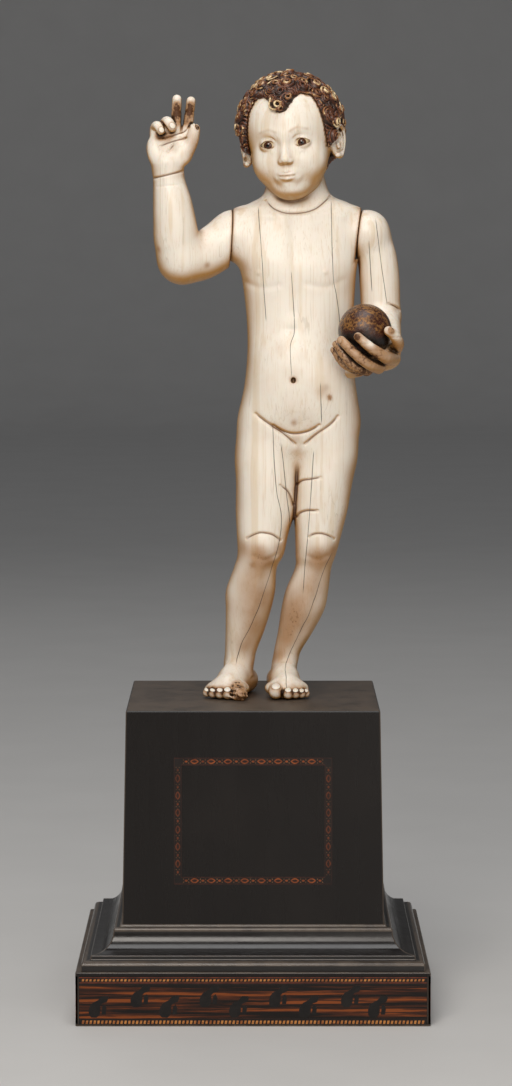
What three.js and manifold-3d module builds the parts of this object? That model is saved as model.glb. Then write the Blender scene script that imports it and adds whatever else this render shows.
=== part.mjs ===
// A carved ivory figure of a standing child, one hand raised with two fingers up and a globe in the other
// hand, on a dark veneered pedestal with a stepped moulding and a band of marquetry round its foot.
// Millimetres, +Z up. The origin is the centre of the pedestal's underside, and the figure faces -Y.

import * as THREE from "three";
import { mergeVertices } from "three/addons/utils/BufferGeometryUtils.js";
import Module from "manifold-3d";

const wasm = await Module();
wasm.setup();

// Driving dimensions
const FIGURE_HEIGHT = 439; // soles to the top of the curls
const GLOBE_DIAMETER = 37;
const BASE_WIDTH = 241; // the square block at the foot
const BASE_HEIGHT = 36.8;
const MOULDING_HEIGHT = 27.7;
const DIE_HEIGHT = 146.5; // the tall part under the figure, which leans in a little
const DIE_FOOT_WIDTH = 179.3;
const DIE_TOP_WIDTH = 173.8;
const VENEER = 1.2;
const BORDER = { width: 108, low: 92, high: 179, strip: 5 }; // the inlaid frame on the die's front

// The figure's tables are drawn for this height, in millimetres above the soles
const DRAWN_HEIGHT = 439;
const PEDESTAL_HEIGHT = BASE_HEIGHT + MOULDING_HEIGHT + DIE_HEIGHT;
const JOINT_GAP = 0.3; // between pieces that touch
const FULL_TURN = Math.PI * 2;

const v3 = (x, y, z) => new THREE.Vector3(x, y, z);

function finish(colour, roughness, metalness = 0) {
  return new THREE.MeshStandardMaterial({ color: colour, roughness, metalness });
}

const IVORY = finish("#e6d6b4", 0.4);
const GLOBE_PAINT = finish("#3c2418", 0.45);
const BLACK_VENEER = finish("#16120f", 0.3);
const STRIPED_VENEER = finish("#7a3a18", 0.45);
const INLAY_WOOD = finish("#8a3c1a", 0.45);

// Solids

function asSolid(geometry) {
  const bare = geometry.clone();
  bare.deleteAttribute("normal");
  bare.deleteAttribute("uv");
  const merged = mergeVertices(bare, 1e-4);
  const mesh = new wasm.Mesh({
    numProp: 3,
    vertProperties: new Float32Array(merged.attributes.position.array),
    triVerts: new Uint32Array(merged.index.array),
  });
  return new wasm.Manifold(mesh);
}

function asGeometry(solid) {
  const mesh = solid.getMesh();
  const places = [];
  for (let i = 0; i < mesh.numVert; i += 1) {
    const at = i * mesh.numProp;
    places.push(mesh.vertProperties[at], mesh.vertProperties[at + 1], mesh.vertProperties[at + 2]);
  }
  const geometry = new THREE.BufferGeometry();
  geometry.setAttribute("position", new THREE.Float32BufferAttribute(places, 3));
  geometry.setIndex(Array.from(mesh.triVerts));
  geometry.computeVertexNormals();
  return geometry;
}

function union(geometries) {
  return geometries.map(asSolid).reduce((whole, next) => whole.add(next));
}

// A closed skin over rings of points, each ring running the same way round, with a point at either end
function skin(rings, first, last) {
  const sides = rings[0].length;
  const points = [first, ...rings.flat(), last];
  const end = points.length - 1;
  const at = (ring, side) => 1 + ring * sides + (side % sides);
  const faces = [];
  for (let side = 0; side < sides; side += 1) {
    faces.push(0, at(0, side + 1), at(0, side));
    for (let ring = 0; ring + 1 < rings.length; ring += 1) {
      faces.push(at(ring, side), at(ring, side + 1), at(ring + 1, side + 1));
      faces.push(at(ring, side), at(ring + 1, side + 1), at(ring + 1, side));
    }
    faces.push(end, at(rings.length - 1, side), at(rings.length - 1, side + 1));
  }
  const geometry = new THREE.BufferGeometry().setFromPoints(points);
  geometry.setIndex(faces);
  return geometry;
}

// A smooth curve through evenly spaced values, read at a place from 0 to 1
function readCurve(values, t) {
  const place = t * (values.length - 1);
  const i = Math.min(Math.floor(place), values.length - 2);
  const [before, from, to, after] = [i - 1, i, i + 1, i + 2].map((n) => {
    return values[THREE.MathUtils.clamp(n, 0, values.length - 1)];
  });
  const u = place - i;
  const slopeIn = (to - before) / 2;
  const slopeOut = (after - from) / 2;
  const cubic = (2 * from - 2 * to + slopeIn + slopeOut) * u ** 3;
  return cubic + (3 * to - 3 * from - 2 * slopeIn - slopeOut) * u ** 2 + slopeIn * u + from;
}

// A level-cut form: each station is [height, centre x, centre y, half width, depth in front, depth behind].
// A fullness under 1 squares the sections off.
function levelForm(stations, { rings, sides, fullness }) {
  const rows = stations.toSorted((a, b) => a[0] - b[0]);
  const squared = (value) => Math.sign(value) * Math.abs(value) ** fullness;
  const made = Array.from({ length: rings }, (_, ring) => {
    const [z, cx, cy, wide, front, back] = [0, 1, 2, 3, 4, 5].map((column) => {
      return readCurve(rows.map((row) => row[column]), ring / (rings - 1));
    });
    return Array.from({ length: sides }, (__, side) => {
      const turn = (side / sides) * FULL_TURN;
      const depth = Math.sin(turn) < 0 ? front : back;
      return v3(cx + wide * squared(Math.cos(turn)), cy + depth * squared(Math.sin(turn)), z);
    });
  });
  const [low, high] = [rows[0], rows.at(-1)];
  return skin(made, v3(low[1], low[2], low[0]), v3(high[1], high[2], high[0]));
}

// A round limb along a smooth path: each knot is [x, y, z, radius], and the ends are domed
function limb(knots, { sides, rings, flatten = 1, domeSteps = [0.9, 0.5] }) {
  const across = v3(1, 0, 0);
  const path = new THREE.CatmullRomCurve3(knots.map(([x, y, z]) => v3(x, y, z)));
  const radiusAt = (t) => {
    const place = t * (knots.length - 1);
    const i = Math.min(Math.floor(place), knots.length - 2);
    return THREE.MathUtils.lerp(knots[i][3], knots[i + 1][3], place - i);
  };
  const ringAt = (centre, along, radius) => {
    const side = across.clone().addScaledVector(along, -across.dot(along)).normalize();
    const up = along.clone().cross(side);
    return Array.from({ length: sides }, (_, k) => {
      const turn = (k / sides) * FULL_TURN;
      const point = centre.clone().addScaledVector(side, radius * Math.cos(turn));
      return point.addScaledVector(up, radius * flatten * Math.sin(turn));
    });
  };
  const [startWay, endWay] = [path.getTangent(0), path.getTangent(1)];
  const [startRadius, endRadius] = [radiusAt(0), radiusAt(1)];
  const made = [];
  for (const step of domeSteps) {
    const centre = path.getPoint(0).addScaledVector(startWay, -startRadius * step);
    made.push(ringAt(centre, startWay, startRadius * Math.sqrt(1 - step * step)));
  }
  for (let ring = 0; ring < rings; ring += 1) {
    const t = ring / (rings - 1);
    made.push(ringAt(path.getPoint(t), path.getTangent(t), radiusAt(t)));
  }
  for (const step of domeSteps.toReversed()) {
    const centre = path.getPoint(1).addScaledVector(endWay, endRadius * step);
    made.push(ringAt(centre, endWay, endRadius * Math.sqrt(1 - step * step)));
  }
  const first = path.getPoint(0).addScaledVector(startWay, -startRadius);
  const last = path.getPoint(1).addScaledVector(endWay, endRadius);
  return skin(made, first, last);
}

function ellipsoid(centre, radii, [across, down] = [14, 10], turn = new THREE.Euler()) {
  const geometry = new THREE.SphereGeometry(1, across, down);
  const place = new THREE.Matrix4().compose(
    v3(...centre), new THREE.Quaternion().setFromEuler(turn), v3(...radii));
  return geometry.applyMatrix4(place);
}

function box(low, high) {
  const size = high.map((value, k) => value - low[k]);
  const geometry = new THREE.BoxGeometry(...size);
  return geometry.translate(...low.map((value, k) => value + size[k] / 2));
}

// A cube whose near face lies on a plane: the plane passes through a point and faces along a way
function beyond(point, way, size) {
  const geometry = new THREE.BoxGeometry(size, size, size).translate(0, 0, size / 2);
  const turn = new THREE.Quaternion().setFromUnitVectors(v3(0, 0, 1), way);
  return geometry.applyQuaternion(turn).translate(point.x, point.y, point.z);
}

// The figure's forms

const TORSO = [
  [382, 27.6, 3, 15.5, 10, 13],
  [374, 28.4, 3, 18, 13, 17],
  [366, 29.5, 3, 19.6, 15, 18],
  [352, 30.6, 3, 23.5, 16, 19],
  [346, 32.2, 3, 34, 18, 20],
  [341, 31.6, 3, 43.5, 20, 22],
  [328, 29.8, 2, 46.5, 22, 24],
  [312, 29.5, 2, 45, 25, 25],
  [298, 31.6, 2, 40.5, 27, 25],
  [278, 32.5, 2, 38.2, 27, 24],
  [258, 32.9, 2, 37, 28, 23],
  [240, 32.8, 1, 36.8, 30, 23],
  [222, 32.9, 1, 38.5, 31, 25],
  [206, 32.7, 1, 40.6, 29, 28],
  [192, 32.2, 2, 41.5, 26, 27],
  [178, 31.6, 2, 36, 21, 22],
  [167, 31.5, 3, 27, 15, 16],
  [159, 31.5, 4, 20, 10, 11],
  [150, 31.5, 4, 14, 6, 7],
  [140, 31.5, 4, 9, 4, 5],
];
const RIGHT_LEG = [
  [224, 16, 3, 10, 12, 16],
  [208, 13.4, 2, 18.5, 20, 27],
  [194, 11.4, 2, 21.2, 22.5, 31.5],
  [180, 9.9, 2, 21.9, 23, 31],
  [166, 9, 1, 21.9, 22.5, 25],
  [150, 9.6, 0, 21.6, 22, 22],
  [131, 8.8, -1, 21, 20, 20],
  [115, 6.7, -2, 18.2, 18, 18],
  [100, 5.2, -2, 16.2, 17.5, 16.5],
  [90, 1.5, 0, 15.2, 16, 16],
  [74, -1.8, 4, 17.3, 16.5, 19],
  [60, -3.4, 6, 15.9, 15.5, 17.5],
  [44, -6, 8, 13.5, 13, 14],
  [28, -9.2, 11, 10.8, 11, 11.5],
  [14, -10.5, 13, 10.2, 12, 12],
];
const LEFT_LEG = [
  [224, 48, 3, 10, 12, 16],
  [208, 50.8, 2, 18.5, 20, 27],
  [194, 52.3, 2, 21.5, 22.5, 31.5],
  [180, 52.4, 2, 21.5, 23, 31],
  [166, 52, 1, 21, 22.5, 25],
  [150, 49.4, 0, 20.1, 22, 22],
  [131, 47.3, -1, 18.9, 19.5, 20],
  [115, 45.8, -1, 16.4, 18, 17.5],
  [100, 44, 0, 14.2, 17, 16],
  [90, 42.2, 2, 12.8, 15, 16],
  [74, 38, 6, 15, 16, 18],
  [60, 35, 8, 15.2, 15.5, 17],
  [44, 29.8, 10, 12.3, 12.5, 14],
  [28, 23.6, 12, 9.2, 10.5, 11.5],
  [14, 21.6, 13, 8.6, 11, 12],
];

// The head's own frame has its origin at the middle of the skull, y to the back and z to the crown
const HEAD = { centre: v3(26.4, -3, 391.5), yaw: -0.17, roll: -0.095, nod: 0.05 };
const SKULL_FORMS = [
  { centre: v3(0, 2, 7.5), radii: v3(33.5, 36.5, 33.5) },
  { centre: v3(0, -10, -12), radii: v3(27, 24.5, 30) },
  { centre: v3(0, -19, -34), radii: v3(12.5, 11, 8.5) },
  { centre: v3(-14, -18, -19), radii: v3(12, 12, 12) },
  { centre: v3(14, -18, -19), radii: v3(12, 12, 12) },
];
const BLEND_POWER = 22; // how tightly the skull's forms melt together
const EAR = { centre: v3(31, -1, -6.5), radii: v3(4, 7.5, 11) };
const CURL_COUNT = 92;
const CURL_HEIGHT = 3.6;
const CURL_SPREAD = 0.17; // radians from a curl's middle to its edge
const HAIR_BED = 3; // under the curls

// How far along a ray from the head's origin a form's far side is
function reach(way, { centre, radii }) {
  const ray = way.clone().divide(radii);
  const from = centre.clone().negate().divide(radii);
  const a = ray.lengthSq();
  const b = ray.dot(from);
  const inside = b * b - a * (from.lengthSq() - 1);
  return inside > 0 ? Math.max(0, (-b + Math.sqrt(inside)) / a) : 0;
}

// 1 where hair grows and 0 on the bare face and round the ears, with a lock at the middle of the brow
function hairCover(place) {
  const { smoothstep, lerp } = THREE.MathUtils;
  const { x, y, z } = place;
  const oval = ((Math.abs(x) / 27) ** 3 + (Math.max(0, z + 8) / 33) ** 3) ** (1 / 3);
  const lock = 9 * Math.exp(-((x / 8) ** 2)) * smoothstep(z, 5, 18);
  const front = Math.max((oval - 1) * 27 + lock, y + 8);
  const lowest = lerp(-12, -31, smoothstep(y, -4, 14));
  const besideEar = v3(Math.abs(x), y, z).sub(EAR.centre).divide(EAR.radii);
  const ear = (Math.hypot(besideEar.y, besideEar.z) - 1.1) * EAR.radii.y;
  return smoothstep(Math.min(front, z - lowest, ear), -1.5, 2);
}

function curlCentres() {
  const golden = Math.PI * (3 - Math.sqrt(5));
  return Array.from({ length: CURL_COUNT }, (_, k) => {
    const z = 1 - (2 * (k + 0.5)) / CURL_COUNT;
    const out = Math.sqrt(1 - z * z);
    return v3(out * Math.cos(golden * k), out * Math.sin(golden * k), z);
  });
}

// The skull and its cap of curls are one form: a ball whose points are pushed out to the skull's surface
function skullWithCurls() {
  const geometry = new THREE.SphereGeometry(1, 28, 21).rotateX(-Math.PI / 2);
  const curls = curlCentres();
  const places = geometry.attributes.position;
  const way = new THREE.Vector3();
  for (let i = 0; i < places.count; i += 1) {
    way.fromBufferAttribute(places, i).normalize();
    const reaches = SKULL_FORMS.map((form) => reach(way, form) ** BLEND_POWER);
    const radius = reaches.reduce((sum, next) => sum + next) ** (1 / BLEND_POWER);
    const nearest = Math.min(...curls.map((curl) => curl.angleTo(way)));
    const dome = Math.sqrt(Math.max(0, 1 - (nearest / CURL_SPREAD) ** 2));
    const hair = hairCover(way.clone().multiplyScalar(radius)) * (HAIR_BED + CURL_HEIGHT * dome);
    places.setXYZ(i, ...way.multiplyScalar(radius + hair).toArray());
  }
  return geometry;
}

// Plain features at even proportions: eyes at mid-height, five eyes to the face's width
const EYE = { aside: 11, front: -31.8, height: -4, radii: [6.2, 5, 4.4] };

function headForms() {
  const eyes = [-1, 1].map((side) => [side * EYE.aside, EYE.front + EYE.radii[1], EYE.height]);
  const hollows = eyes.map(([x, , z]) => ellipsoid([x, EYE.front - 3, z], [7.6, 5.6, 5.4], [10, 7]));
  const ears = [-1, 1].map((side) => {
    const { centre, radii } = EAR;
    const turn = new THREE.Euler(0.2, 0, side * -0.4);
    return ellipsoid([side * centre.x, centre.y, centre.z], radii.toArray(), [10, 7], turn);
  });
  const small = { sides: 6, rings: 3, domeSteps: [0.6] };
  const features = [
    limb([[0, -33.4, 1, 2], [0, -36.6, -8, 2.7], [0, -37.8, -15.6, 3.4]], small),
    ...[-1, 1].map((side) => ellipsoid([side * 3.9, -35, -17], [2.3, 2.8, 2], [6, 5])),
    ellipsoid([0, -33.2, -25.4], [6.4, 3.4, 1.5], [8, 5]),
    ellipsoid([0, -33, -28], [5, 3.4, 1.7], [8, 5]),
  ];
  const turn = new THREE.Euler(HEAD.nod, HEAD.roll, HEAD.yaw, "ZYX");
  const frame = new THREE.Matrix4().makeRotationFromEuler(turn).setPosition(HEAD.centre);
  const placed = (form) => form.clone().applyMatrix4(frame);
  return {
    hollows: hollows.map(placed),
    skull: placed(skullWithCurls()),
    added: [...eyes.map((eye) => ellipsoid(eye, EYE.radii, [8, 6])), ...ears, ...features].map(placed),
  };
}

function head() {
  const { hollows, skull, added } = headForms();
  return asSolid(skull).subtract(union(hollows)).add(union(added));
}

// A bare foot: heel to ball, an instep up to the ankle, and five toes fanned across the front
function foot({ ankle, heel, ball, toes, brokenToe }) {
  const [ax, ay, az] = ankle;
  const [bx, by, bz] = ball;
  const sole = limb([[...heel, 9.5], [(heel[0] + bx) / 2, (heel[1] + by) / 2, 9, 10.5], [bx, by, bz, 10]], {
    sides: 10, rings: 3, flatten: 0.9,
  });
  const instep = limb([[ax, ay, az, 9.5], [(ax + bx) / 2, (ay + by) / 2, 14, 10], [bx, by + 3, bz, 8]], {
    sides: 10, rings: 3,
  });
  const toeForms = toes.map(([x, y, z, r], k) => {
    const broken = k === 0 && brokenToe;
    const length = r * (broken ? 1.1 : 1.75);
    return ellipsoid([x, y + length * 0.5, z], [r, length, r * (broken ? 0.85 : 1)], [7, 5]);
  });
  return [sole, instep, ellipsoid([bx, by, bz - 1], [16, 12, 7.5], [12, 6]), ...toeForms];
}

const RIGHT_FOOT = {
  ankle: [-10.5, 13, 20],
  heel: [-4, 25, 8.5],
  ball: [-18, -13, 8],
  toes: [[-8.5, -26, 4.6, 5.4], [-18, -27.5, 4.4, 4.2], [-23.5, -25, 4.2, 3.9], [-28.5, -22, 4, 3.6],
    [-32.5, -18, 3.8, 3.3]],
  brokenToe: true,
};
const LEFT_FOOT = {
  ankle: [21.6, 13, 20],
  heel: [19, 26, 8.5],
  ball: [23.5, -12, 8],
  toes: [[16.8, -25.5, 5, 5.6], [24.6, -27.5, 4.6, 4], [30, -26, 4.4, 3.7], [34, -23.5, 4.2, 3.4],
    [37, -20, 4, 3.1]],
  brokenToe: false,
};

// The seams where the arms are glued on: planes through a point, facing outwards
const SEAM_REACH = 42;
const [OUTSIDE, INSIDE] = [1, -1];
const RIGHT_SEAM = { point: v3(-15.5, 0, 322), way: v3(-1, -0.05, 0.06) };
const LEFT_SEAM = { point: v3(74, 0, 328), way: v3(1, -0.05, -0.12) };
const RIGHT_SHOULDER = { centre: [-13, 1, 323], radii: [17, 17.5, 17] };
const LEFT_SHOULDER = { centre: [79.5, 1, 325], radii: [15, 16.5, 15] };

function shoulder({ centre, radii }) {
  return ellipsoid(centre, radii, [12, 8]);
}

// What lies past a seam, on its outer side or its inner one, with the glue line's width left open
function pastSeam({ point, way }, side) {
  const facing = way.clone().normalize().multiplyScalar(side);
  return asSolid(beyond(point.clone().addScaledVector(facing, -JOINT_GAP / 2), facing, SEAM_REACH));
}

function figureBody() {
  const leg = { rings: 15, sides: 13, fullness: 0.95 };
  const forms = [
    levelForm(TORSO, { rings: 22, sides: 20, fullness: 0.88 }),
    levelForm(RIGHT_LEG, leg),
    levelForm(LEFT_LEG, leg),
    shoulder(RIGHT_SHOULDER),
    shoulder(LEFT_SHOULDER),
    ...foot(RIGHT_FOOT),
    ...foot(LEFT_FOOT),
  ];
  const underSoles = asSolid(box([-200, -200, -60], [200, 200, JOINT_GAP]));
  return union(forms)
    .add(head())
    .subtract(underSoles)
    .subtract(pastSeam(RIGHT_SEAM, OUTSIDE))
    .subtract(pastSeam(LEFT_SEAM, OUTSIDE));
}

const ARM = { sides: 12, rings: 6 };
const FINGER = { sides: 6, rings: 4, domeSteps: [0.7] };

// The raised arm: palm to the front, first two fingers up, the other two folded, the thumb's end broken off
function raisedArm() {
  const forms = [
    shoulder(RIGHT_SHOULDER),
    limb([[-13, 1, 323, 16.8], [-24, -2, 316, 16.6], [-36, -7, 308.5, 16.2], [-49, -11, 306.5, 17.2]], ARM),
    limb([[-49.5, -12, 307, 15.8], [-53, -15, 320, 15.8], [-54.3, -17, 332, 14.8], [-55.8, -18, 345, 13.6],
      [-58.5, -18.5, 362, 11.2], [-59.2, -19, 373, 12]], ARM),
    ellipsoid([-58.5, -19.3, 384], [16.4, 7.6, 14], [14, 9]),
    limb([[-47, -20, 377, 6], [-41.8, -22, 388, 4.8], [-40.3, -23, 397, 3.6]], FINGER),
    limb([[-46.5, -18.5, 392, 4], [-44.8, -19, 404, 3.5], [-42.8, -20.5, 415.5, 3.2]], FINGER),
    limb([[-53.5, -18.5, 394, 4], [-53.4, -19, 406, 3.7], [-53.2, -20.5, 416.5, 3.4]], FINGER),
    limb([[-61, -17.5, 393, 4], [-60.5, -19, 400.5, 3.9], [-58.5, -25.5, 401, 3.6],
      [-56.5, -27, 395, 3.3]], FINGER),
    limb([[-68, -17.5, 388, 4], [-68.6, -19, 396.5, 3.7], [-66, -25, 398, 3.4],
      [-63.5, -27, 393, 3.1]], FINGER),
  ];
  return union(forms).subtract(pastSeam(RIGHT_SEAM, INSIDE));
}

const GLOBE_CENTRE = v3(76.9, -45, 258.2);
const GLOBE_FACETS = [20, 12];

// The lowered arm: the hand is palm up under the globe, with the fingers curled up over its front
function loweredArm() {
  const room = Array(3).fill(GLOBE_DIAMETER / 2 + JOINT_GAP);
  const forms = [
    shoulder(LEFT_SHOULDER),
    limb([[79.5, 1, 325, 14.4], [86.3, 2, 308, 13.8], [88.4, 2, 290, 14], [89.2, 1, 267, 13.6]], ARM),
    limb([[89.4, 0, 266, 13.4], [91, -18, 256, 11.8], [93.5, -32, 246, 9.6]], ARM),
    ellipsoid([90, -40, 239], [12.5, 14, 9], [10, 7]),
    ellipsoid([80, -44, 234.5], [13, 12, 6], [10, 7]),
    limb([[97, -38, 244, 5.4], [99.6, -50, 249, 4.4], [94.6, -60.5, 257.5, 3.5]], FINGER),
    limb([[95, -48, 239, 5], [90, -60.5, 240.5, 4.3], [80.5, -66, 246.5, 3.9],
      [72.5, -66, 252.5, 3.5]], FINGER),
    limb([[86, -50, 233.5, 5], [77.5, -60.5, 236, 4.1], [68.5, -62, 243, 3.7],
      [61, -58.5, 250.5, 3.3]], FINGER),
    limb([[78, -46, 231.5, 4.6], [69, -54.5, 234.5, 3.8], [61.8, -55, 241, 3.4], [57, -51, 248, 3]], FINGER),
    limb([[74, -40, 231.5, 4.2], [66.5, -45, 232.5, 3.5], [59.5, -46, 238, 3.1],
      [55.8, -44, 244, 2.8]], FINGER),
    limb([[73, -39, 230, 4], [67.5, -27, 228, 4.2]], { ...FINGER, rings: 2 }),
  ];
  return union(forms)
    .subtract(pastSeam(LEFT_SEAM, INSIDE))
    .subtract(asSolid(ellipsoid(GLOBE_CENTRE.toArray(), room, GLOBE_FACETS)));
}

// The pedestal

// A square moulding: its profile is [half width, height] from the bottom up, run round four mitred sides
function squareMoulding(profile) {
  const corners = [[-1, -1], [1, -1], [1, 1], [-1, 1]];
  const rings = profile.map(([half, z]) => corners.map(([x, y]) => v3(x * half, y * half, z)));
  return skin(rings, v3(0, 0, profile[0][1]), v3(0, 0, profile.at(-1)[1]));
}

function quarterRound(from, to, steps, hollow = false) {
  const [[h0, z0], [h1, z1]] = [from, to];
  return Array.from({ length: steps + 1 }, (_, k) => {
    const turn = ((k / steps) * Math.PI) / 2;
    const [near, far] = [Math.sin(turn), 1 - Math.cos(turn)];
    const [inward, rise] = hollow ? [near, far] : [far, near];
    return [h0 + (h1 - h0) * inward, z0 + (z1 - z0) * rise];
  });
}

// The moulding from the block up: a band, a small quarter-round, a fillet, a wide hollow and two small beads
const MOULDING_SET_BACK = 3.6;

function mouldingProfile() {
  const half = BASE_WIDTH / 2 - MOULDING_SET_BACK;
  const row = ([inward, rise]) => [half - inward, BASE_HEIGHT + rise];
  return [
    ...[[0, 0], [0, 3.8]].map(row),
    ...quarterRound(row([0, 3.8]), row([3.6, 6.6]), 4).slice(1),
    ...[[6.4, 7], [6.4, 9.7], [8.1, 10]].map(row),
    ...quarterRound(row([8.1, 10]), row([21.5, 23.6]), 6, true).slice(1),
    ...[[21.5, 24.2]].map(row),
    ...quarterRound(row([21.5, 24.2]), row([23.4, 26]), 3).slice(1),
    ...[[25.4, 26]].map(row),
    ...quarterRound(row([25.4, 26]), row([26.9, MOULDING_HEIGHT]), 3).slice(1),
  ];
}

const DIE_FOOT = BASE_HEIGHT + MOULDING_HEIGHT;
const dieHalfWidthAt = (z) => {
  const share = (z - DIE_FOOT) / DIE_HEIGHT;
  return THREE.MathUtils.lerp(DIE_FOOT_WIDTH, DIE_TOP_WIDTH, share) / 2;
};

// The inlaid border on the die's front: a frame of narrow strips let into the face
function borderStrips() {
  const { width, low, high, strip } = BORDER;
  const half = width / 2;
  return {
    border_bottom: [[-half, low], [half, low + strip]],
    border_top: [[-half, high - strip], [half, high]],
    border_left: [[-half, low + strip], [-half + strip, high - strip]],
    border_right: [[half - strip, low + strip], [half, high - strip]],
  };
}

// A strip is let in flush: its face leans back with the die's
function stripGeometry([[x0, z0], [x1, z1]], { shrink, depth, proud }) {
  const [left, right, low, high] = [x0 + shrink, x1 - shrink, z0 + shrink, z1 - shrink];
  const ring = (x) => [
    v3(x, -dieHalfWidthAt(low) - proud, low),
    v3(x, -dieHalfWidthAt(low) + depth, low),
    v3(x, -dieHalfWidthAt(high) + depth, high),
    v3(x, -dieHalfWidthAt(high) - proud, high),
  ];
  const middle = (points) => points.reduce((sum, p) => sum.add(p), v3(0, 0, 0)).divideScalar(points.length);
  const rings = [ring(left), ring(right)];
  return skin(rings, middle(rings[0].map((p) => p.clone())), middle(rings[1].map((p) => p.clone())));
}

function die() {
  const plain = asSolid(squareMoulding([
    [DIE_FOOT_WIDTH / 2, DIE_FOOT],
    [DIE_TOP_WIDTH / 2, PEDESTAL_HEIGHT],
  ]));
  const rebates = Object.values(borderStrips()).map((strip) => {
    return asSolid(stripGeometry(strip, { shrink: 0, depth: VENEER, proud: 1 }));
  });
  return rebates.reduce((left, rebate) => left.subtract(rebate), plain);
}

// The block's four faces carry sheets of marquetry, framed by the black block's own edges
const SHEET_EDGE = 2.6;

// Where a sheet lies, or with a gap the room that is cut for it
function sheetBox(gap) {
  const half = BASE_WIDTH / 2;
  const [aside, foot, top] = [half - SHEET_EDGE + gap, SHEET_EDGE / 2 - gap, BASE_HEIGHT - SHEET_EDGE + gap];
  return box([-aside, -half - gap, foot], [aside, -half + VENEER + gap, top]);
}

function baseBlock() {
  const half = BASE_WIDTH / 2;
  const rooms = [0, 1, 2, 3].map((turns) => sheetBox(JOINT_GAP).rotateZ((turns * FULL_TURN) / 4));
  return asSolid(box([-half, -half, 0], [half, half, BASE_HEIGHT])).subtract(union(rooms));
}

// The object

const object = new THREE.Group();

function place(name, geometry, material, parent = object) {
  const mesh = new THREE.Mesh(geometry, material);
  mesh.name = name;
  parent.add(mesh);
  return mesh;
}

const statue = new THREE.Group();
statue.position.z = PEDESTAL_HEIGHT;
statue.scale.setScalar(FIGURE_HEIGHT / DRAWN_HEIGHT);
object.add(statue);

const body = figureBody();
place("body", asGeometry(body), IVORY, statue);
place("raised_right_arm", asGeometry(raisedArm().subtract(body)), IVORY, statue);
place("lowered_left_arm", asGeometry(loweredArm().subtract(body)), IVORY, statue);

const globe = new THREE.SphereGeometry(GLOBE_DIAMETER / 2, ...GLOBE_FACETS);
place("globe", globe, GLOBE_PAINT, statue).position.copy(GLOBE_CENTRE);

place("pedestal_die", asGeometry(die()), BLACK_VENEER);
place("base_moulding", asGeometry(asSolid(squareMoulding(mouldingProfile()))), BLACK_VENEER);
place("base_block", asGeometry(baseBlock()), BLACK_VENEER);

for (const [name, strip] of Object.entries(borderStrips())) {
  const geometry = stripGeometry(strip, { shrink: JOINT_GAP / 2, depth: VENEER - JOINT_GAP / 2, proud: 0 });
  place(name, geometry, INLAY_WOOD);
}
["front", "right", "back", "left"].forEach((side, turns) => {
  place(`marquetry_${side}`, sheetBox(0).rotateZ((turns * FULL_TURN) / 4), STRIPED_VENEER);
});

export default object;
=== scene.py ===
"""A carved ivory child on a black veneered pedestal: the carving, the inlay, the finishes and the stage."""

import math

import bmesh
import bpy
import numpy as np
import openvdb
from bpy.props import FloatProperty, FloatVectorProperty, IntProperty, PointerProperty
from mathutils import Euler, Matrix, Vector


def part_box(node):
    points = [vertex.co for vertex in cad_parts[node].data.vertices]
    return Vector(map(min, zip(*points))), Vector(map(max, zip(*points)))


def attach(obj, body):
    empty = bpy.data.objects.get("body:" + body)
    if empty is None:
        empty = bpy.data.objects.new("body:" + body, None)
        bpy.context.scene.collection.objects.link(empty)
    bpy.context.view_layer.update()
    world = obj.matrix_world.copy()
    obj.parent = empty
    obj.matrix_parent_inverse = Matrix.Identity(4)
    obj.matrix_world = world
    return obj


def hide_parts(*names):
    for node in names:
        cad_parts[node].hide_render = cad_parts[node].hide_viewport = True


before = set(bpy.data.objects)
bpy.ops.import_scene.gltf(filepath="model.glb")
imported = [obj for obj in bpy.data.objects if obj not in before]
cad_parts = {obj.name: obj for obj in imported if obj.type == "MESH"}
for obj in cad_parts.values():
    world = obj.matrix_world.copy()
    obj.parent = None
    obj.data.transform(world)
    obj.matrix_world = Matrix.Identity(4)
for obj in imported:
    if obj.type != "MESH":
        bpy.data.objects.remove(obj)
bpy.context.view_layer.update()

bl_info = {
    "name": "Ivory child on a pedestal",
    "version": (1, 0, 0),
    "blender": (4, 5, 0),
    "location": "3D View > Sidebar > Statuette",
    "description": "Carves the figure, veneers and inlays its pedestal, and sets the stage",
    "category": "Object",
}

MM = 0.001
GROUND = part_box("pedestal_die")[1].z  # the pedestal's top, where the soles rest


def linear(hex_colour):
    """A linear colour from an sRGB hex value."""
    channels = [int(hex_colour[i:i + 2], 16) / 255 for i in (1, 3, 5)]
    return tuple(c / 12.92 if c <= 0.04045 else ((c + 0.055) / 1.055) ** 2.4 for c in channels)


# Forms: each is a box and a signed distance inside it, in millimetres, from the figure's soles up


class Form:
    """A closed form: its lowest and highest corners, and its distance from points given as x, y and z."""

    def __init__(self, low, high, distance):
        self.low, self.high, self.distance = np.array(low, float), np.array(high, float), distance

    def meets(self, low, high, reach):
        """Whether the form is within reach of a box."""
        return bool(np.all(self.low - reach < high) and np.all(self.high + reach > low))


def smooth_min(a, b, blend):
    """The nearer of two distances, with the join rounded over a blend width."""
    near = np.minimum(a, b)
    if blend <= 0:
        return near
    return near - np.maximum(blend - np.abs(a - b), 0) ** 2 / (4 * blend)


def smoothstep(value, low, high):
    """0 below low, 1 above high, and a smooth ramp between."""
    t = np.clip((value - low) / (high - low), 0, 1)
    return t * t * (3 - 2 * t)


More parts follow.
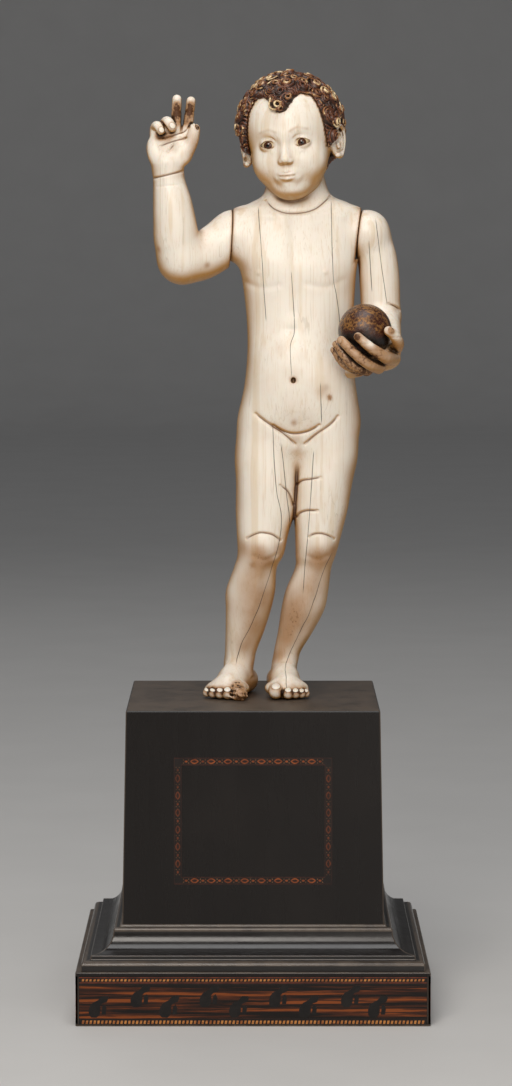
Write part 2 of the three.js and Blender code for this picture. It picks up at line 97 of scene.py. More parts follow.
def ellipsoid(centre, radii, turn=(0, 0, 0)):
    """An ellipsoid, turned by Euler angles in degrees."""
    c, r = np.array(centre, float), np.array(radii, float)
    to_world = np.array(Euler([math.radians(a) for a in turn]).to_matrix())
    reach = np.sqrt((to_world ** 2) @ (r ** 2))

    def distance(x, y, z):
        p = (x - c[0], y - c[1], z - c[2])
        if any(turn):
            p = [to_world[0, k] * p[0] + to_world[1, k] * p[1] + to_world[2, k] * p[2] for k in range(3)]
        k0 = np.sqrt(sum((p[k] / r[k]) ** 2 for k in range(3)))
        k1 = np.sqrt(sum((p[k] / r[k] ** 2) ** 2 for k in range(3)))
        return k0 * (k0 - 1) / np.maximum(k1, 1e-6)

    return Form(c - reach, c + reach, distance)


def ball(centre, radius):
    """A round ball."""
    return ellipsoid(centre, [radius] * 3)


def mirrored(place, side):
    """A place on the figure's right, with -1, or as given on its left, with 1."""
    return side * place[0], *place[1:]


def smooth_path(knots, steps):
    """Rows read along a smooth curve through the knots, with a number of steps between each two."""
    rows = np.array(knots, float)
    places = np.linspace(0, len(rows) - 1, steps * (len(rows) - 1) + 1)
    i = np.minimum(places.astype(int), len(rows) - 2)
    u = (places - i)[:, None]
    before, start, end, after = (rows[np.clip(i + k, 0, len(rows) - 1)] for k in (-1, 0, 1, 2))
    slope_in, slope_out = (end - before) / 2, (after - start) / 2
    cubic = (2 * start - 2 * end + slope_in + slope_out) * u ** 3
    return cubic + (3 * end - 3 * start - 2 * slope_in - slope_out) * u ** 2 + slope_in * u + start


def limb(knots, steps=4):
    """A round limb along a smooth path: each knot is x, y, z and radius."""
    path = smooth_path(knots, steps)

    def distance(x, y, z):
        nearest = None
        for a, b in zip(path, path[1:]):
            way = b[:3] - a[:3]
            px, py, pz = x - a[0], y - a[1], z - a[2]
            t = np.clip((px * way[0] + py * way[1] + pz * way[2]) / max(way @ way, 1e-9), 0, 1)
            far = np.sqrt((px - t * way[0]) ** 2 + (py - t * way[1]) ** 2 + (pz - t * way[2]) ** 2)
            far = far - (a[3] + t * (b[3] - a[3]))
            nearest = far if nearest is None else np.minimum(nearest, far)
        return nearest

    return Form((path[:, :3] - path[:, 3:]).min(0), (path[:, :3] + path[:, 3:]).max(0), distance)


def lofted(stations, fullness):
    """A level-cut form. Each station is height, centre x, centre y, half width, depth in front and behind."""
    table = smooth_path(sorted(stations), 12)
    heights = table[:, 0]
    slopes = np.gradient(table, heights, axis=0)
    power = 2 / fullness

    def distance(x, y, z):
        level = np.clip(z, heights[0], heights[-1])
        cx, cy, wide, front, back = (np.interp(level, heights, table[:, k]) for k in range(1, 6))
        cx1, cy1, wide1, front1, back1 = (np.interp(level, heights, slopes[:, k]) for k in range(1, 6))
        ahead = y < cy
        depth, depth1 = np.where(ahead, front, back), np.where(ahead, front1, back1)
        u, v = np.maximum(np.abs(x - cx) / wide, 1e-4), np.maximum(np.abs(y - cy) / depth, 1e-4)
        k = (u ** power + v ** power) ** (1 / power)
        by_u, by_v = (u / k) ** (power - 1), (v / k) ** (power - 1)
        rise = by_u * (np.sign(x - cx) * cx1 + u * wide1) / wide
        rise = rise + by_v * (np.sign(y - cy) * cy1 + v * depth1) / depth
        slope = np.sqrt((by_u / wide) ** 2 + (by_v / depth) ** 2 + rise ** 2)
        return np.maximum((k - 1) / slope, np.maximum(heights[0] - z, z - heights[-1]))

    cx, cy, wide, front, back = (table[:, k] for k in range(1, 6))
    low = ((cx - wide).min(), (cy - front).min(), heights[0])
    return Form(low, ((cx + wide).max(), (cy + back).max(), heights[-1]), distance)


def half_space(point, way, reach=400):
    """Everything past a plane through a point, within a reach of it."""
    p, n = np.array(point, float), np.array(Vector(way).normalized())

    def distance(x, y, z):
        behind = (p[0] - x) * n[0] + (p[1] - y) * n[1] + (p[2] - z) * n[2]
        aside = np.maximum(np.abs(y - p[1]), np.abs(z - p[2])) - reach
        return np.maximum(behind, np.maximum(aside, -behind - 2 * reach))

    return Form(p - 2 * reach, p + 2 * reach, distance)


def meeting(first, second):
    """What two forms have in common."""
    low, high = np.maximum(first.low, second.low), np.minimum(first.high, second.high)
    return Form(low, high, lambda x, y, z: np.maximum(first.distance(x, y, z), second.distance(x, y, z)))


def placed(form, matrix):
    """The same form after a rotation and a move."""
    m = np.array(matrix)
    corners = np.array(np.meshgrid(*zip(form.low, form.high))).reshape(3, -1)
    world = m[:3, :3] @ corners + m[:3, 3:]
    inverse = np.array(matrix.inverted())

    def distance(x, y, z):
        return form.distance(*(inverse[k, 0] * x + inverse[k, 1] * y + inverse[k, 2] * z + inverse[k, 3]
                               for k in range(3)))

    return Form(world.min(1), world.max(1), distance)


def line_distance(points, x, y, z):
    """The distance to a chain of straight lines, by whichever of the three axes the points use."""
    nearest = None
    for a, b in zip(points, points[1:]):
        parts = [(p, start, end - start) for p, start, end in zip((x, y, z), a, b) if start is not None]
        span = max(sum(way * way for _, _, way in parts), 1e-9)
        t = np.clip(sum((p - start) * way for p, start, way in parts) / span, 0, 1)
        square = sum((p - start - t * way) ** 2 for p, start, way in parts)
        nearest = square if nearest is None else np.minimum(nearest, square)
    return np.sqrt(nearest)


# Steps: each works a form into the distances so far


class Step:
    """A form, the tool that works it in, how far round the form it acts, and whether it adds material."""

    def __init__(self, form, tool, reach, adds=False):
        self.form, self.tool, self.reach, self.adds = form, tool, reach, adds


def add(form, blend=1.0):
    """Joins a form on."""
    return Step(form, lambda d, f: smooth_min(d, f, blend), blend + 4, adds=True)


def cut(form, blend=0.5):
    """Cuts a form away."""
    return Step(form, lambda d, f: -smooth_min(-d, f, blend), blend + 1)


def brush(low, high, strength, amount):
    """Raises the surface by an amount, or lowers it, where a strength from 0 to 1 says."""
    return Step(Form(low, high, strength), lambda d, f: d - amount * f, 0)


FAR = 8.0  # what lies further than this from the surface isn't worked out


def worked(steps, x, y, z):
    """The distances after all the steps."""
    low = np.array([axis.min() for axis in (x, y, z)])
    high = np.array([axis.max() for axis in (x, y, z)])
    distances = np.full(np.broadcast(x, y, z).shape, FAR * 4, np.float32)
    for step in steps:
        if step.form.meets(low, high, step.reach):
            distances = step.tool(distances, step.form.distance(x, y, z))
    return distances


def shaped(steps):
    """One form made by several steps."""
    added = [step.form for step in steps if step.adds]
    low, high = np.min([form.low for form in added], 0), np.max([form.high for form in added], 0)
    return Form(low, high, lambda x, y, z: worked(steps, x, y, z))


def side_mask(y, side):
    """1 on the front or the back of the trunk and 0 on the other side."""
    return smoothstep(y * side, -2, 6)


FRONT, BACK = -1, 1


LINE_FADE, SPOT_FADE = 3, 2.4  # how many widths or radii out a soft mark has faded


def side_brush(low, high, side, strength, amount):
    """A brush on the front or the back, between the lowest and the highest x and height."""
    near, far = (-60, 4) if side == FRONT else (-4, 60)
    return brush((low[0], near, low[1]), (high[0], far, high[1]), strength, amount)


def crease(points, width, depth, side=FRONT, level=0):
    """A groove along a line given as x and height, on what lies in front of a level y, or behind it."""
    flat = smooth_path(points, 5)
    line, fade = [(x, None, z) for x, z in flat], LINE_FADE * width
    return side_brush(flat.min(0) - fade, flat.max(0) + fade, side, lambda x, y, z: (
        side_mask(y - level, side) * np.exp(-(line_distance(line, x, y, z) / width) ** 2)), -depth)


def swell(centre, radii, height, side=FRONT):
    """A soft rise, or a hollow with a negative height, given as x and height on the front or back."""
    c, r = np.array(centre, float), np.array(radii, float)
    return side_brush(c - SPOT_FADE * r, c + SPOT_FADE * r, side, lambda x, y, z: (
        side_mask(y, side) * np.exp(-((x - c[0]) / r[0]) ** 2 - ((z - c[1]) / r[1]) ** 2)), height)


def groove(points, width, depth):
    """A groove along a line in space."""
    line = smooth_path(points, 5)
    fade = LINE_FADE * width
    return brush(line.min(0) - fade, line.max(0) + fade, lambda x, y, z: np.exp(
        -(line_distance(line, x, y, z) / width) ** 2), -depth)


def mound(centre, radii, height):
    """A soft rise or hollow round a point in space."""
    c, r = np.array(centre, float), np.array(radii, float)
    return brush(c - SPOT_FADE * r, c + SPOT_FADE * r, lambda x, y, z: np.exp(
        -((x - c[0]) / r[0]) ** 2 - ((y - c[1]) / r[1]) ** 2 - ((z - c[2]) / r[2]) ** 2), height)


def rough(centre, radii, height, grain, seed):
    """A broken patch: waves in many directions, under a soft round mask."""
    c, r = np.array(centre, float), np.array(radii, float)
    waves = np.random.default_rng(seed).normal(size=(9, 4)) * (1 / grain, 1 / grain, 1 / grain, 3)

    def strength(x, y, z):
        mask = np.exp(-(((x - c[0]) / r[0]) ** 2 + ((y - c[1]) / r[1]) ** 2 + ((z - c[2]) / r[2]) ** 2) ** 2)
        return mask * sum(np.sin(a * x + b * y + e * z + f) for a, b, e, f in waves) / 3

    return brush(c - 1.6 * r, c + 1.6 * r, strength, height)


# The figure's measures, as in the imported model


TORSO = [
    (382, 27.6, 3, 15.5, 10, 13), (374, 28.4, 3, 18, 13, 17), (366, 29.5, 3, 19.6, 15, 18),
    (352, 30.6, 3, 23.5, 16, 19), (346, 32.2, 3, 34, 18, 20), (341, 31.6, 3, 43.5, 20, 22),
    (328, 29.8, 2, 46.5, 22, 24), (312, 29.5, 2, 45, 25, 25), (298, 31.6, 2, 40.5, 27, 25),
    (278, 32.5, 2, 38.2, 27, 24), (258, 32.9, 2, 37, 28, 23), (240, 32.8, 1, 36.8, 30, 23),
    (222, 32.9, 1, 38.5, 31, 25), (206, 32.7, 1, 40.6, 29, 28), (192, 32.2, 2, 41.5, 26, 27),
    (178, 31.6, 2, 36, 21, 22), (167, 31.5, 3, 27, 15, 16), (159, 31.5, 4, 20, 10, 11),
    (150, 31.5, 4, 14, 6, 7), (140, 31.5, 4, 9, 4, 5),
]
RIGHT_LEG = [
    (224, 16, 3, 10, 12, 16), (208, 13.4, 2, 18.5, 20, 27), (194, 11.4, 2, 21.2, 22.5, 31.5),
    (180, 9.9, 2, 21.9, 23, 31), (166, 9, 1, 21.9, 22.5, 25), (150, 9.6, 0, 21.6, 22, 22),
    (131, 8.8, -1, 21, 20, 20), (115, 6.7, -2, 18.2, 18, 18), (100, 5.2, -2, 16.2, 17.5, 16.5),
    (90, 1.5, 0, 15.2, 16, 16), (74, -1.8, 4, 17.3, 16.5, 19), (60, -3.4, 6, 15.9, 15.5, 17.5),
    (44, -6, 8, 13.5, 13, 14), (28, -9.2, 11, 10.8, 11, 11.5), (14, -10.5, 13, 10.2, 12, 12),
]
LEFT_LEG = [
    (224, 48, 3, 10, 12, 16), (208, 50.8, 2, 18.5, 20, 27), (194, 52.3, 2, 21.5, 22.5, 31.5),
    (180, 52.4, 2, 21.5, 23, 31), (166, 52, 1, 21, 22.5, 25), (150, 49.4, 0, 20.1, 22, 22),
    (131, 47.3, -1, 18.9, 19.5, 20), (115, 45.8, -1, 16.4, 18, 17.5), (100, 44, 0, 14.2, 17, 16),
    (90, 42.2, 2, 12.8, 15, 16), (74, 38, 6, 15, 16, 18), (60, 35, 8, 15.2, 15.5, 17),
    (44, 29.8, 10, 12.3, 12.5, 14), (28, 23.6, 12, 9.2, 10.5, 11.5), (14, 21.6, 13, 8.6, 11, 12),
]
SEAM_GAP = 0.3
RIGHT_SEAM = {"point": (-15.5, 0, 322), "way": (-1, -0.05, 0.06)}
LEFT_SEAM = {"point": (74, 0, 328), "way": (1, -0.05, -0.12)}
SEAM_REACH = 21  # the seam's saw cut, above and below its middle
RIGHT_SHOULDER = ellipsoid((-13, 1, 323), (17, 17.5, 17))
LEFT_SHOULDER = ellipsoid((79.5, 1, 325), (15, 16.5, 15))
SOLE = half_space((0, 0, SEAM_GAP), (0, 0, -1))


def past_seam(seam, side):
    """What lies past a seam: on its outer side with 1, or on its inner side with -1."""
    way = side * Vector(seam["way"]).normalized()
    return half_space(Vector(seam["point"]) - way * SEAM_GAP / 2, way, SEAM_REACH)


# The head, in its own frame: the origin at the middle of the skull, y to the back and z to the crown

HEAD_PLACE = Matrix.Translation((26.4, -3, 391.5)) @ Euler((0.05, -0.095, -0.17)).to_matrix().to_4x4()
SKULL_BLEND = 6
EAR_CENTRE, EAR_RADII = (31, -1, -6.5), (3.6, 7.5, 11)
EYE_CENTRE, EYE_RADIUS = (11.3, -25.4, -3.8), 6.2
IRIS_RADIUS, PUPIL_RADIUS = 2.8, 1.1
CORNEA_RISE, CORNEA_SPREAD = 0.3, 0.5  # how far the eye bulges, and within what angle of its gaze
LID_THICKNESS = 0.9
ALMOND = {"half_width": 6.1, "upper": 2.8, "lower": 2.2}
SIDES = (-1, 1)


def skull_steps():
    """The bare skull and face, without features."""
    return [
        add(ellipsoid((0, 2, 7.5), (33.5, 36.5, 33.5)), 0),
        add(ellipsoid((0, -10, -12), (25.8, 24.5, 30)), SKULL_BLEND),
        add(ellipsoid((0, -19.5, -34), (12, 11, 8.5)), SKULL_BLEND),
        *(add(ball((side * 13, -17.4, -17), 11.8), SKULL_BLEND) for side in SIDES),
    ]


def eye_opening(side):
    """The almond between an eye's lids."""
    cx, cy, cz = mirrored(EYE_CENTRE, side)

    def distance(x, y, z):
        fall = 1 - ((x - cx) / ALMOND["half_width"]) ** 2
        lean = 0.06 * (x - cx) * side
        above = z - cz - lean - ALMOND["upper"] * fall
        below = cz + lean - ALMOND["lower"] * fall - z
        return np.maximum(np.maximum(above, below), y - cy)

    half = ALMOND["half_width"]
    return Form((cx - half, cy - 9, cz - 3), (cx + half, cy, cz + 3), distance)


def eye_steps(side):
    """A socket, a lid with its opening, the ball behind it and the fold over it."""
    cx, cy, cz = mirrored(EYE_CENTRE, side)
    lid = shaped([add(ball((cx, cy, cz), EYE_RADIUS + LID_THICKNESS), 0), cut(eye_opening(side), 0.3)])
    fold = [(cx - side * 6.6, cy - 5.6, cz + 1.6), (cx - side * 2.8, cy - 6.9, cz + 4.7),
            (cx + side * 2.8, cy - 6.4, cz + 4.7), (cx + side * 7.6, cy - 3.2, cz + 1)]
    return [
        mound((cx, cy - 6, cz), (8.6, 7, 4.6), -2.8),
        add(lid, 0.9),
        add(ball((cx, cy, cz), EYE_RADIUS - 0.3), 0),
        groove(fold, 0.8, 0.5),
        mound((cx, cy - 8, cz + 9.4), (8.5, 6, 2.8), 0.6),
        mound((cx, cy - 6, cz - 7.5), (7, 6, 2.2), -0.35),
    ]


def nose_steps():
    """A short straight nose with soft wings."""
    wings = [add(ellipsoid((side * 3, -34.2, -15.9), (1.9, 2.5, 1.7)), 1.8) for side in SIDES]
    nostrils = [cut(ellipsoid((side * 1.6, -36, -17.8), (0.8, 1.2, 0.6)), 0.4) for side in SIDES]
    return [
        add(limb([(0, -31.8, 1, 2), (0, -33.6, -6, 2.1), (0, -35.2, -12.8, 2.4)], 10), 5),
        add(ellipsoid((0, -36, -14.8), (2.8, 2.7, 2.4)), 2.6),
        *wings,
        *nostrils,
    ]


MOUTH_LINE = [(-5.6, -33.6, -25.5), (-2.4, -35.6, -25.9), (0, -35.9, -25.6), (2.4, -35.6, -25.9),
              (5.6, -33.6, -25.5)]


def mouth_steps():
    """Closed lips at rest, a dent above and below them, and the chin."""
    upper = [(-5, -33.1, -25.1, 0.5), (-2.2, -34.7, -24.6, 0.95), (0, -35, -24.8, 0.95),
             (2.2, -34.7, -24.6, 0.95), (5, -33.1, -25.1, 0.5)]
    lower = [(-4, -33.4, -26.7, 0.6), (0, -34.5, -27.5, 1.5), (4, -33.4, -26.7, 0.6)]
    return [
        add(ellipsoid((0, -29.4, -26), (8.4, 5.3, 6)), 3.5),
        add(limb(upper, 8), 1.8),
        add(limb(lower, 8), 1.8),
        groove(MOUTH_LINE, 0.5, 0.8),
        groove([(0, -35.4, -19.4), (0, -35, -22.8)], 1, 0.4),
        mound((0, -34.4, -30.6), (4.2, 3.4, 1.7), -0.8),
        mound((0, -32, -35.6), (5.6, 5, 4.5), 0.7),
        *(mound((side * 7.2, -32.8, -25.6), (1.6, 3, 1.8), -0.5) for side in SIDES),
    ]


def ear_steps(side):
    """An ear with a rolled rim, a hollow and a lobe."""
    cx, cy, cz = mirrored(EAR_CENTRE, side)

    def roll(knots, blend):
        return add(limb([(cx + side * x, cy + y, cz + z, r) for x, y, z, r in knots]), blend)

    rim = [(-1, -5, 2.6, 1.1), (1.6, -4.6, 8.2, 1.4), (3.4, 0.5, 11, 1.6), (4.6, 6, 8, 1.6),
           (4.8, 7.2, 1.5, 1.5), (3.8, 5, -5.5, 1.5), (2.4, 0.5, -9.6, 2), (1, -3, -9, 2.1)]
    fold = [(3.4, 4.2, 6, 0.9), (3.8, 4.4, 0.5, 1), (3.2, 1.8, -5, 1)]
    tragus = [(2, -5.2, -1.4, 1.3), (2.4, -4.6, -3.6, 1.2)]
    return [
        add(ellipsoid((cx, cy, cz), EAR_RADII, (12, 0, side * -22)), 1.2),
        roll(rim, 0.6),
        cut(ellipsoid((cx + side * 3.6, cy + 0.4, cz + 0.4), (2.6, 3.7, 5.2), (8, 0, side * -18)), 0.8),
        roll(fold, 0.7),
        roll(tragus, 0.6),
    ]


def head_form():
    """The whole head without its hair, set on the figure."""
    steps = skull_steps() + nose_steps() + mouth_steps()
    for side in SIDES:
        steps += eye_steps(side) + ear_steps(side)
    return placed(shaped(steps), HEAD_PLACE)


# The trunk, legs and feet

RIGHT_FOOT = {
    "ankle": (-10.5, 13, 20), "heel": (-6, 23, 8.5), "ball": (-18, -13, 8),
    "toes": [(-18, -27, 4.5, 4.1), (-23.3, -25, 4.3, 3.7), (-28.2, -22, 4.2, 3.4), (-32.4, -18, 4, 3.1)],
}
LEFT_FOOT = {
    "ankle": (21.6, 13, 20), "heel": (19, 26, 8.5), "ball": (23.5, -12, 8),
    "toes": [(15.9, -25.5, 5.6, 5.4), (24.4, -27.5, 4.4, 3.9), (29.6, -26, 4.3, 3.5), (33.8, -23.5, 4, 3.2),
             (37, -20, 3.7, 2.9)],
}
LOST_TOE = (-9.6, -27.5, 4)


def toe_steps(toe, ball):
    """A toe with a knuckle, a pad and a nail."""
    x, y, z, r = toe
    root = (x + (ball[0] - x) * 0.3, ball[1] + 1, 7.2, r * 1.1)
    knuckle = (x + (ball[0] - x) * 0.08, y + 2.1 * r, z + 0.45 * r, r * 0.98)
    return [
        add(limb([root, knuckle, (x, y + 0.15 * r, z, r * 0.92)]), 0.9),
        mound((x, y + 1.3 * r, z + r), (r, 0.8, r * 0.7), -0.4),
    ]


def foot_steps(foot):
    """Heel, sole, instep, ankle bones and toes."""
    (ax, ay, az), (hx, hy, hz), (bx, by, bz) = foot["ankle"], foot["heel"], foot["ball"]
    sole, middle = ((hx + bx) / 2, (hy + by) / 2), ((ax + bx) / 2, (ay + by) / 2)
    steps = [
        add(limb([(hx, hy, hz, 9.5), (*sole, 9, 10.3), (bx, by, bz, 9.6)]), 3),
        add(limb([(ax, ay - 2, az - 5, 6.8), (*middle, 13.4, 9.4), (bx, by + 3, bz, 8)], 10), 4),
        add(ellipsoid((bx, by, bz - 1.4), (15.4, 12, 7)), 3),
        mound((ax - 9.6, ay - 1, az + 2), (3.6, 5, 4.4), 0.5),
        mound((ax + 9.2, ay - 3, az + 4), (3.6, 5, 4.4), 0.5),
        *(mound((ax + side * 7, ay + 9, az + 4), (3, 5, 9), -0.9) for side in SIDES),
    ]
    for toe in foot["toes"]:
        steps += toe_steps(toe, foot["ball"])
    return steps


# Carved folds with old dirt and painted shade in them, on the front: x and height, from left to right
FOLDS = [
    [(1.8, 199.6), (9.2, 194), (20.3, 186.6), (29, 178.6)],
    [(36.2, 178.6), (43.7, 185.3), (53.3, 192), (59, 198)],
    [(14, 191.6), (21, 187.6), (28.5, 185.8), (38, 187.4), (46, 191.8)],
    [(-4.3, 112.4), (1.3, 115.5), (6.2, 116.6), (13.3, 115.2), (18.9, 111)],
    [(38.9, 113.4), (42, 115.4), (47, 116), (52, 114.6), (56.1, 112)],
    [(30.6, 127.2), (33, 130), (37.3, 131.8), (41.5, 132.1), (45, 132.1)],
    [(30.8, 149.7), (34.4, 152.6), (40, 154), (47, 155.4)],
    [(18.9, 149.7), (23.9, 145.5), (26.7, 139.9), (28, 135.7)],
    [(9, 347.4), (15, 341.4), (26.4, 338.3), (42, 341), (53.6, 350.2)],
]
TRUNK_DETAIL = [
    swell((4, 302), (15, 11), 1.1), swell((51, 303), (14, 11), 1.1),
    crease([(28, 334), (28, 305), (27.5, 272)], 4.5, 0.7),
    crease([(-5, 291), (5, 287), (18, 289)], 2.4, 0.5),
    crease([(38, 289.5), (50, 287.5), (62, 292)], 2.4, 0.5),
    crease([(14, 336.5), (2, 337), (-8, 334)], 2.6, -0.6),
    crease([(39, 337), (52, 338), (62, 336)], 2.6, -0.6), swell((30, 232), (26, 25), 1.6),
    swell((26.5, 258.4), (3.6, 2.6), -0.7), swell((30, 202), (19, 9), 0.9),
    *(crease(fold, 0.95, 1.1) for fold in FOLDS), *(crease(fold, 2.8, 0.5) for fold in FOLDS[:3]),
    swell((29.7, 178), (7, 6), 0.9), mound((4.1, -19.5, 297.3), (1.5, 3, 1.5), 0.7),
    mound((50.2, -23, 298), (1.5, 3, 1.5), 0.7), swell((27.9, 223.6), (4.6, 4), -0.8),
    cut(ellipsoid((27.9, -30, 223.4), (1.6, 4, 2)), 0.6),
    crease([(29.8, 342), (29.8, 300), (31, 262), (32, 226)], 4.2, 1.7, BACK),
    swell((6, 312), (10, 16), 1.7, BACK), swell((54, 313), (10, 16), 1.7, BACK),
    crease([(14, 300), (4, 293), (-7, 297)], 2.6, 0.7, BACK),
    crease([(46, 300), (56, 294), (66, 298)], 2.6, 0.7, BACK), swell((22, 222), (3.6, 3.6), -0.8, BACK),
    swell((43, 222), (3.6, 3.6), -0.8, BACK), crease([(31.4, 214), (31.2, 196), (31, 168)], 2.2, 3.4, BACK),
    crease([(-6, 171), (9, 166.5), (25, 169.5)], 1.8, 1.5, BACK),
    crease([(37, 169.5), (53, 166.5), (69, 171)], 1.8, 1.5, BACK),
]
LEG_DETAIL = [
    swell((8.4, 107), (9, 7), 1.5), swell((47, 106.4), (8, 6.6), 1.5),
    crease([(1, 100), (8, 97.5), (15.5, 100.5)], 1.8, 0.5),
    crease([(38.5, 100), (45, 97.5), (51.5, 100)], 1.8, 0.5),
    crease([(5, 92), (-1, 60), (-7, 34)], 3.2, -0.5), crease([(44, 92), (36, 60), (27, 34)], 3.2, -0.5),
    crease([(-3, 108), (8, 106.5), (19, 108.5)], 1.6, 1, BACK),
    crease([(36, 108.5), (46, 106.5), (56, 108)], 1.6, 1, BACK),
    crease([(-1, 88), (-2, 62), (-7, 42)], 3, 0.7, BACK),
    crease([(40, 88), (35, 62), (29, 42)], 3, 0.7, BACK), swell((-16, 20.4), (2.2, 2.4), -1.5),
]


def body_steps():
    """The head, trunk, legs and feet in one."""
    return [
        add(lofted(RIGHT_LEG, 0.95), 0),
        add(lofted(LEFT_LEG, 0.95), 1.2),
        add(lofted(TORSO, 0.88), 6),
        add(RIGHT_SHOULDER, 7), add(LEFT_SHOULDER, 7),
        *TRUNK_DETAIL,
        *LEG_DETAIL,
        *foot_steps(RIGHT_FOOT),
        add(ellipsoid((-11, -20, 7), (6.4, 6, 6)), 2),
        add(ellipsoid(LOST_TOE, (5, 6.4, 4.6)), 1.2),
        rough(LOST_TOE, (8, 9, 7), 1.1, 1, 3), rough((-11, -22, 9), (7, 6, 5), 0.7, 0.9, 9),
        rough((-16, 4, 19), (5, 8, 4), 0.5, 1.3, 4),
        *foot_steps(LEFT_FOOT),
        add(head_form(), 2.6),
        cut(SOLE, 0),
        cut(past_seam(RIGHT_SEAM, 1), 0.4), cut(past_seam(LEFT_SEAM, 1), 0.4),
    ]


# The arms

GLOBE_CENTRE, GLOBE_RADIUS = (76.9, -45, 258.2), 18.5

# Each finger's knots, its blend, the knots with a crease, and its nail's outward way and stain
RAISED_FINGERS = [
    ([(-48, -21, 378, 5.8), (-42.6, -22.6, 388, 4.8), (-40.4, -23.2, 396.4, 3.9)], 1.6, (), None),
    ([(-46.8, -18.5, 391, 4.2), (-45, -18.7, 400, 3.6), (-43.9, -19.2, 408, 3.35),
      (-42.9, -19.8, 415.8, 3.1)], 1, (1, 2), ((0.1, 1, 0), 0.4)),
    ([(-53.6, -18.5, 393, 4.2), (-53.2, -18.7, 401, 3.7), (-52.9, -19.2, 409, 3.45),
      (-52.6, -19.8, 417, 3.2)], 1, (1, 2), ((0, 1, 0), 0.4)),
    ([(-60.6, -17.5, 392, 4.2), (-60.8, -18.6, 400.2, 3.8), (-58.6, -24.6, 401.4, 3.5),
      (-55.8, -27.2, 397.4, 3.1)], 0.8, (), ((0.3, -1, 0.1), 0.1)),
    ([(-67.2, -17.5, 388, 4.2), (-67.6, -18.8, 397, 3.7), (-65.6, -24.6, 398.4, 3.3),
      (-63.4, -27, 394.6, 2.9)], 0.8, (), ((0.3, -1, 0.1), 0.1)),
]
LOWERED_FINGERS = [
    ([(96.8, -38, 244, 5.2), (99.4, -50, 249, 4.3), (97.4, -57.5, 254, 3.9),
      (92.6, -61.6, 258.4, 3.3)], 1.4, (2,), ((0.2, -1, 0.5), 0.9)),
    ([(95, -48, 239, 5), (90.6, -60, 240.4, 4.2), (83, -65.4, 245.2, 3.8), (77, -66.8, 249.8, 3.4),
      (71.6, -66, 254.6, 3)], 1, (2, 3), ((-0.35, -1, 0), 1.4)),
    ([(86, -50, 233.5, 5), (80.4, -60, 235.4, 4.1), (73.4, -63.4, 239.8, 3.7), (66.6, -63, 245.8, 3.4),
      (60.4, -59.6, 252, 3)], 1, (2, 3), ((-0.6, -1, -0.1), 0.6)),
    ([(78, -46, 231.5, 4.6), (71, -54, 233.6, 3.9), (65.2, -56, 238.4, 3.5), (61, -54.4, 243.6, 3.2),
      (57.4, -51.4, 249, 2.8)], 0.8, (2, 3), ((-1, -0.9, 0), 0.6)),
    ([(74, -40, 231.5, 4.2), (67.4, -45.4, 232.8, 3.5), (61.8, -46.8, 236.4, 3.2), (58.6, -46, 240.6, 3),
      (56, -44, 245, 2.6)], 0.8, (2, 3), ((-1, -0.5, 0), 0.6)),
]


def finger_steps(fingers):
    """The fingers of a hand, each with its creases."""
    made = []
    for knots, blend, joints, _ in fingers:
        made.append(add(limb(knots), blend))
        for x, y, z, r in (knots[joint] for joint in joints):
            made.append(mound((x, y, z), (r * 1.6, r * 1.6, 0.7), -0.35))
    return made


ELBOW_FOLDS = [[(94, 275.9), (98, 274.3), (102.5, 271.4)]]
PALM_FOLDS = [
    [(-65.4, 390.3), (-58, 391.5), (-52, 393), (-47.4, 394.8), (-44, 398)],
    [(-64.2, 384.6), (-58, 387), (-52.6, 388.7), (-46, 390.3)],
    [(-58.4, 381), (-56, 384), (-53.5, 386.6)],
    [(-69.5, 362.5), (-59, 364.8), (-49, 367.3)],
]


def raised_arm_steps():
    """The blessing arm: two fingers up, two folded, and a thumb that has lost its end."""
    return [
        add(RIGHT_SHOULDER, 0),
        add(limb([(-13, 1, 323, 16.8), (-24, -2, 316, 16.6),
                  (-36, -7, 308.5, 16.2), (-49, -11, 306.5, 17)], 12), 5),
        add(limb([(-49.5, -12, 307, 15.8), (-53, -15, 320, 15.8), (-54.3, -17, 332, 14.8),
                  (-55.8, -18, 345, 13.4), (-58.2, -18.5, 361, 11), (-59.2, -19, 373, 11.4)], 12), 5),
        add(ellipsoid((-58.2, -18.2, 383.5), (15.6, 7.4, 13.5)), 3),
        add(ellipsoid((-50, -22.5, 379), (7, 5.6, 10), (0, 22, 0)), 2.4),
        add(ellipsoid((-67, -21.5, 380), (6, 5, 9), (0, -8, 0)), 2.4),
        *finger_steps(RAISED_FINGERS),
        *(crease(fold, 0.8, 0.8, FRONT, -18) for fold in PALM_FOLDS),
        mound((-58.5, -27.5, 383), (5, 4, 6), -0.8),
        mound((-62.4, -25, 392.4), (3.4, 4, 2.4), -1.1),
        groove([(-67, -26, 356.6), (-60, -30, 357.4), (-52.6, -28, 358)], 0.8, 0.35),
        cut(ellipsoid((-38.4, -25.6, 398.2), (1.5, 2.4, 1.9)), 0.5),
        rough((-39.4, -23.6, 398.6), (4, 4, 3.6), 0.4, 0.9, 8),
        cut(past_seam(RIGHT_SEAM, -1), 0.4),
    ]


NAIL_BEDS = [(71.4, -69, 254.4), (59.8, -62.4, 252), (92.4, -64.4, 258.8)]


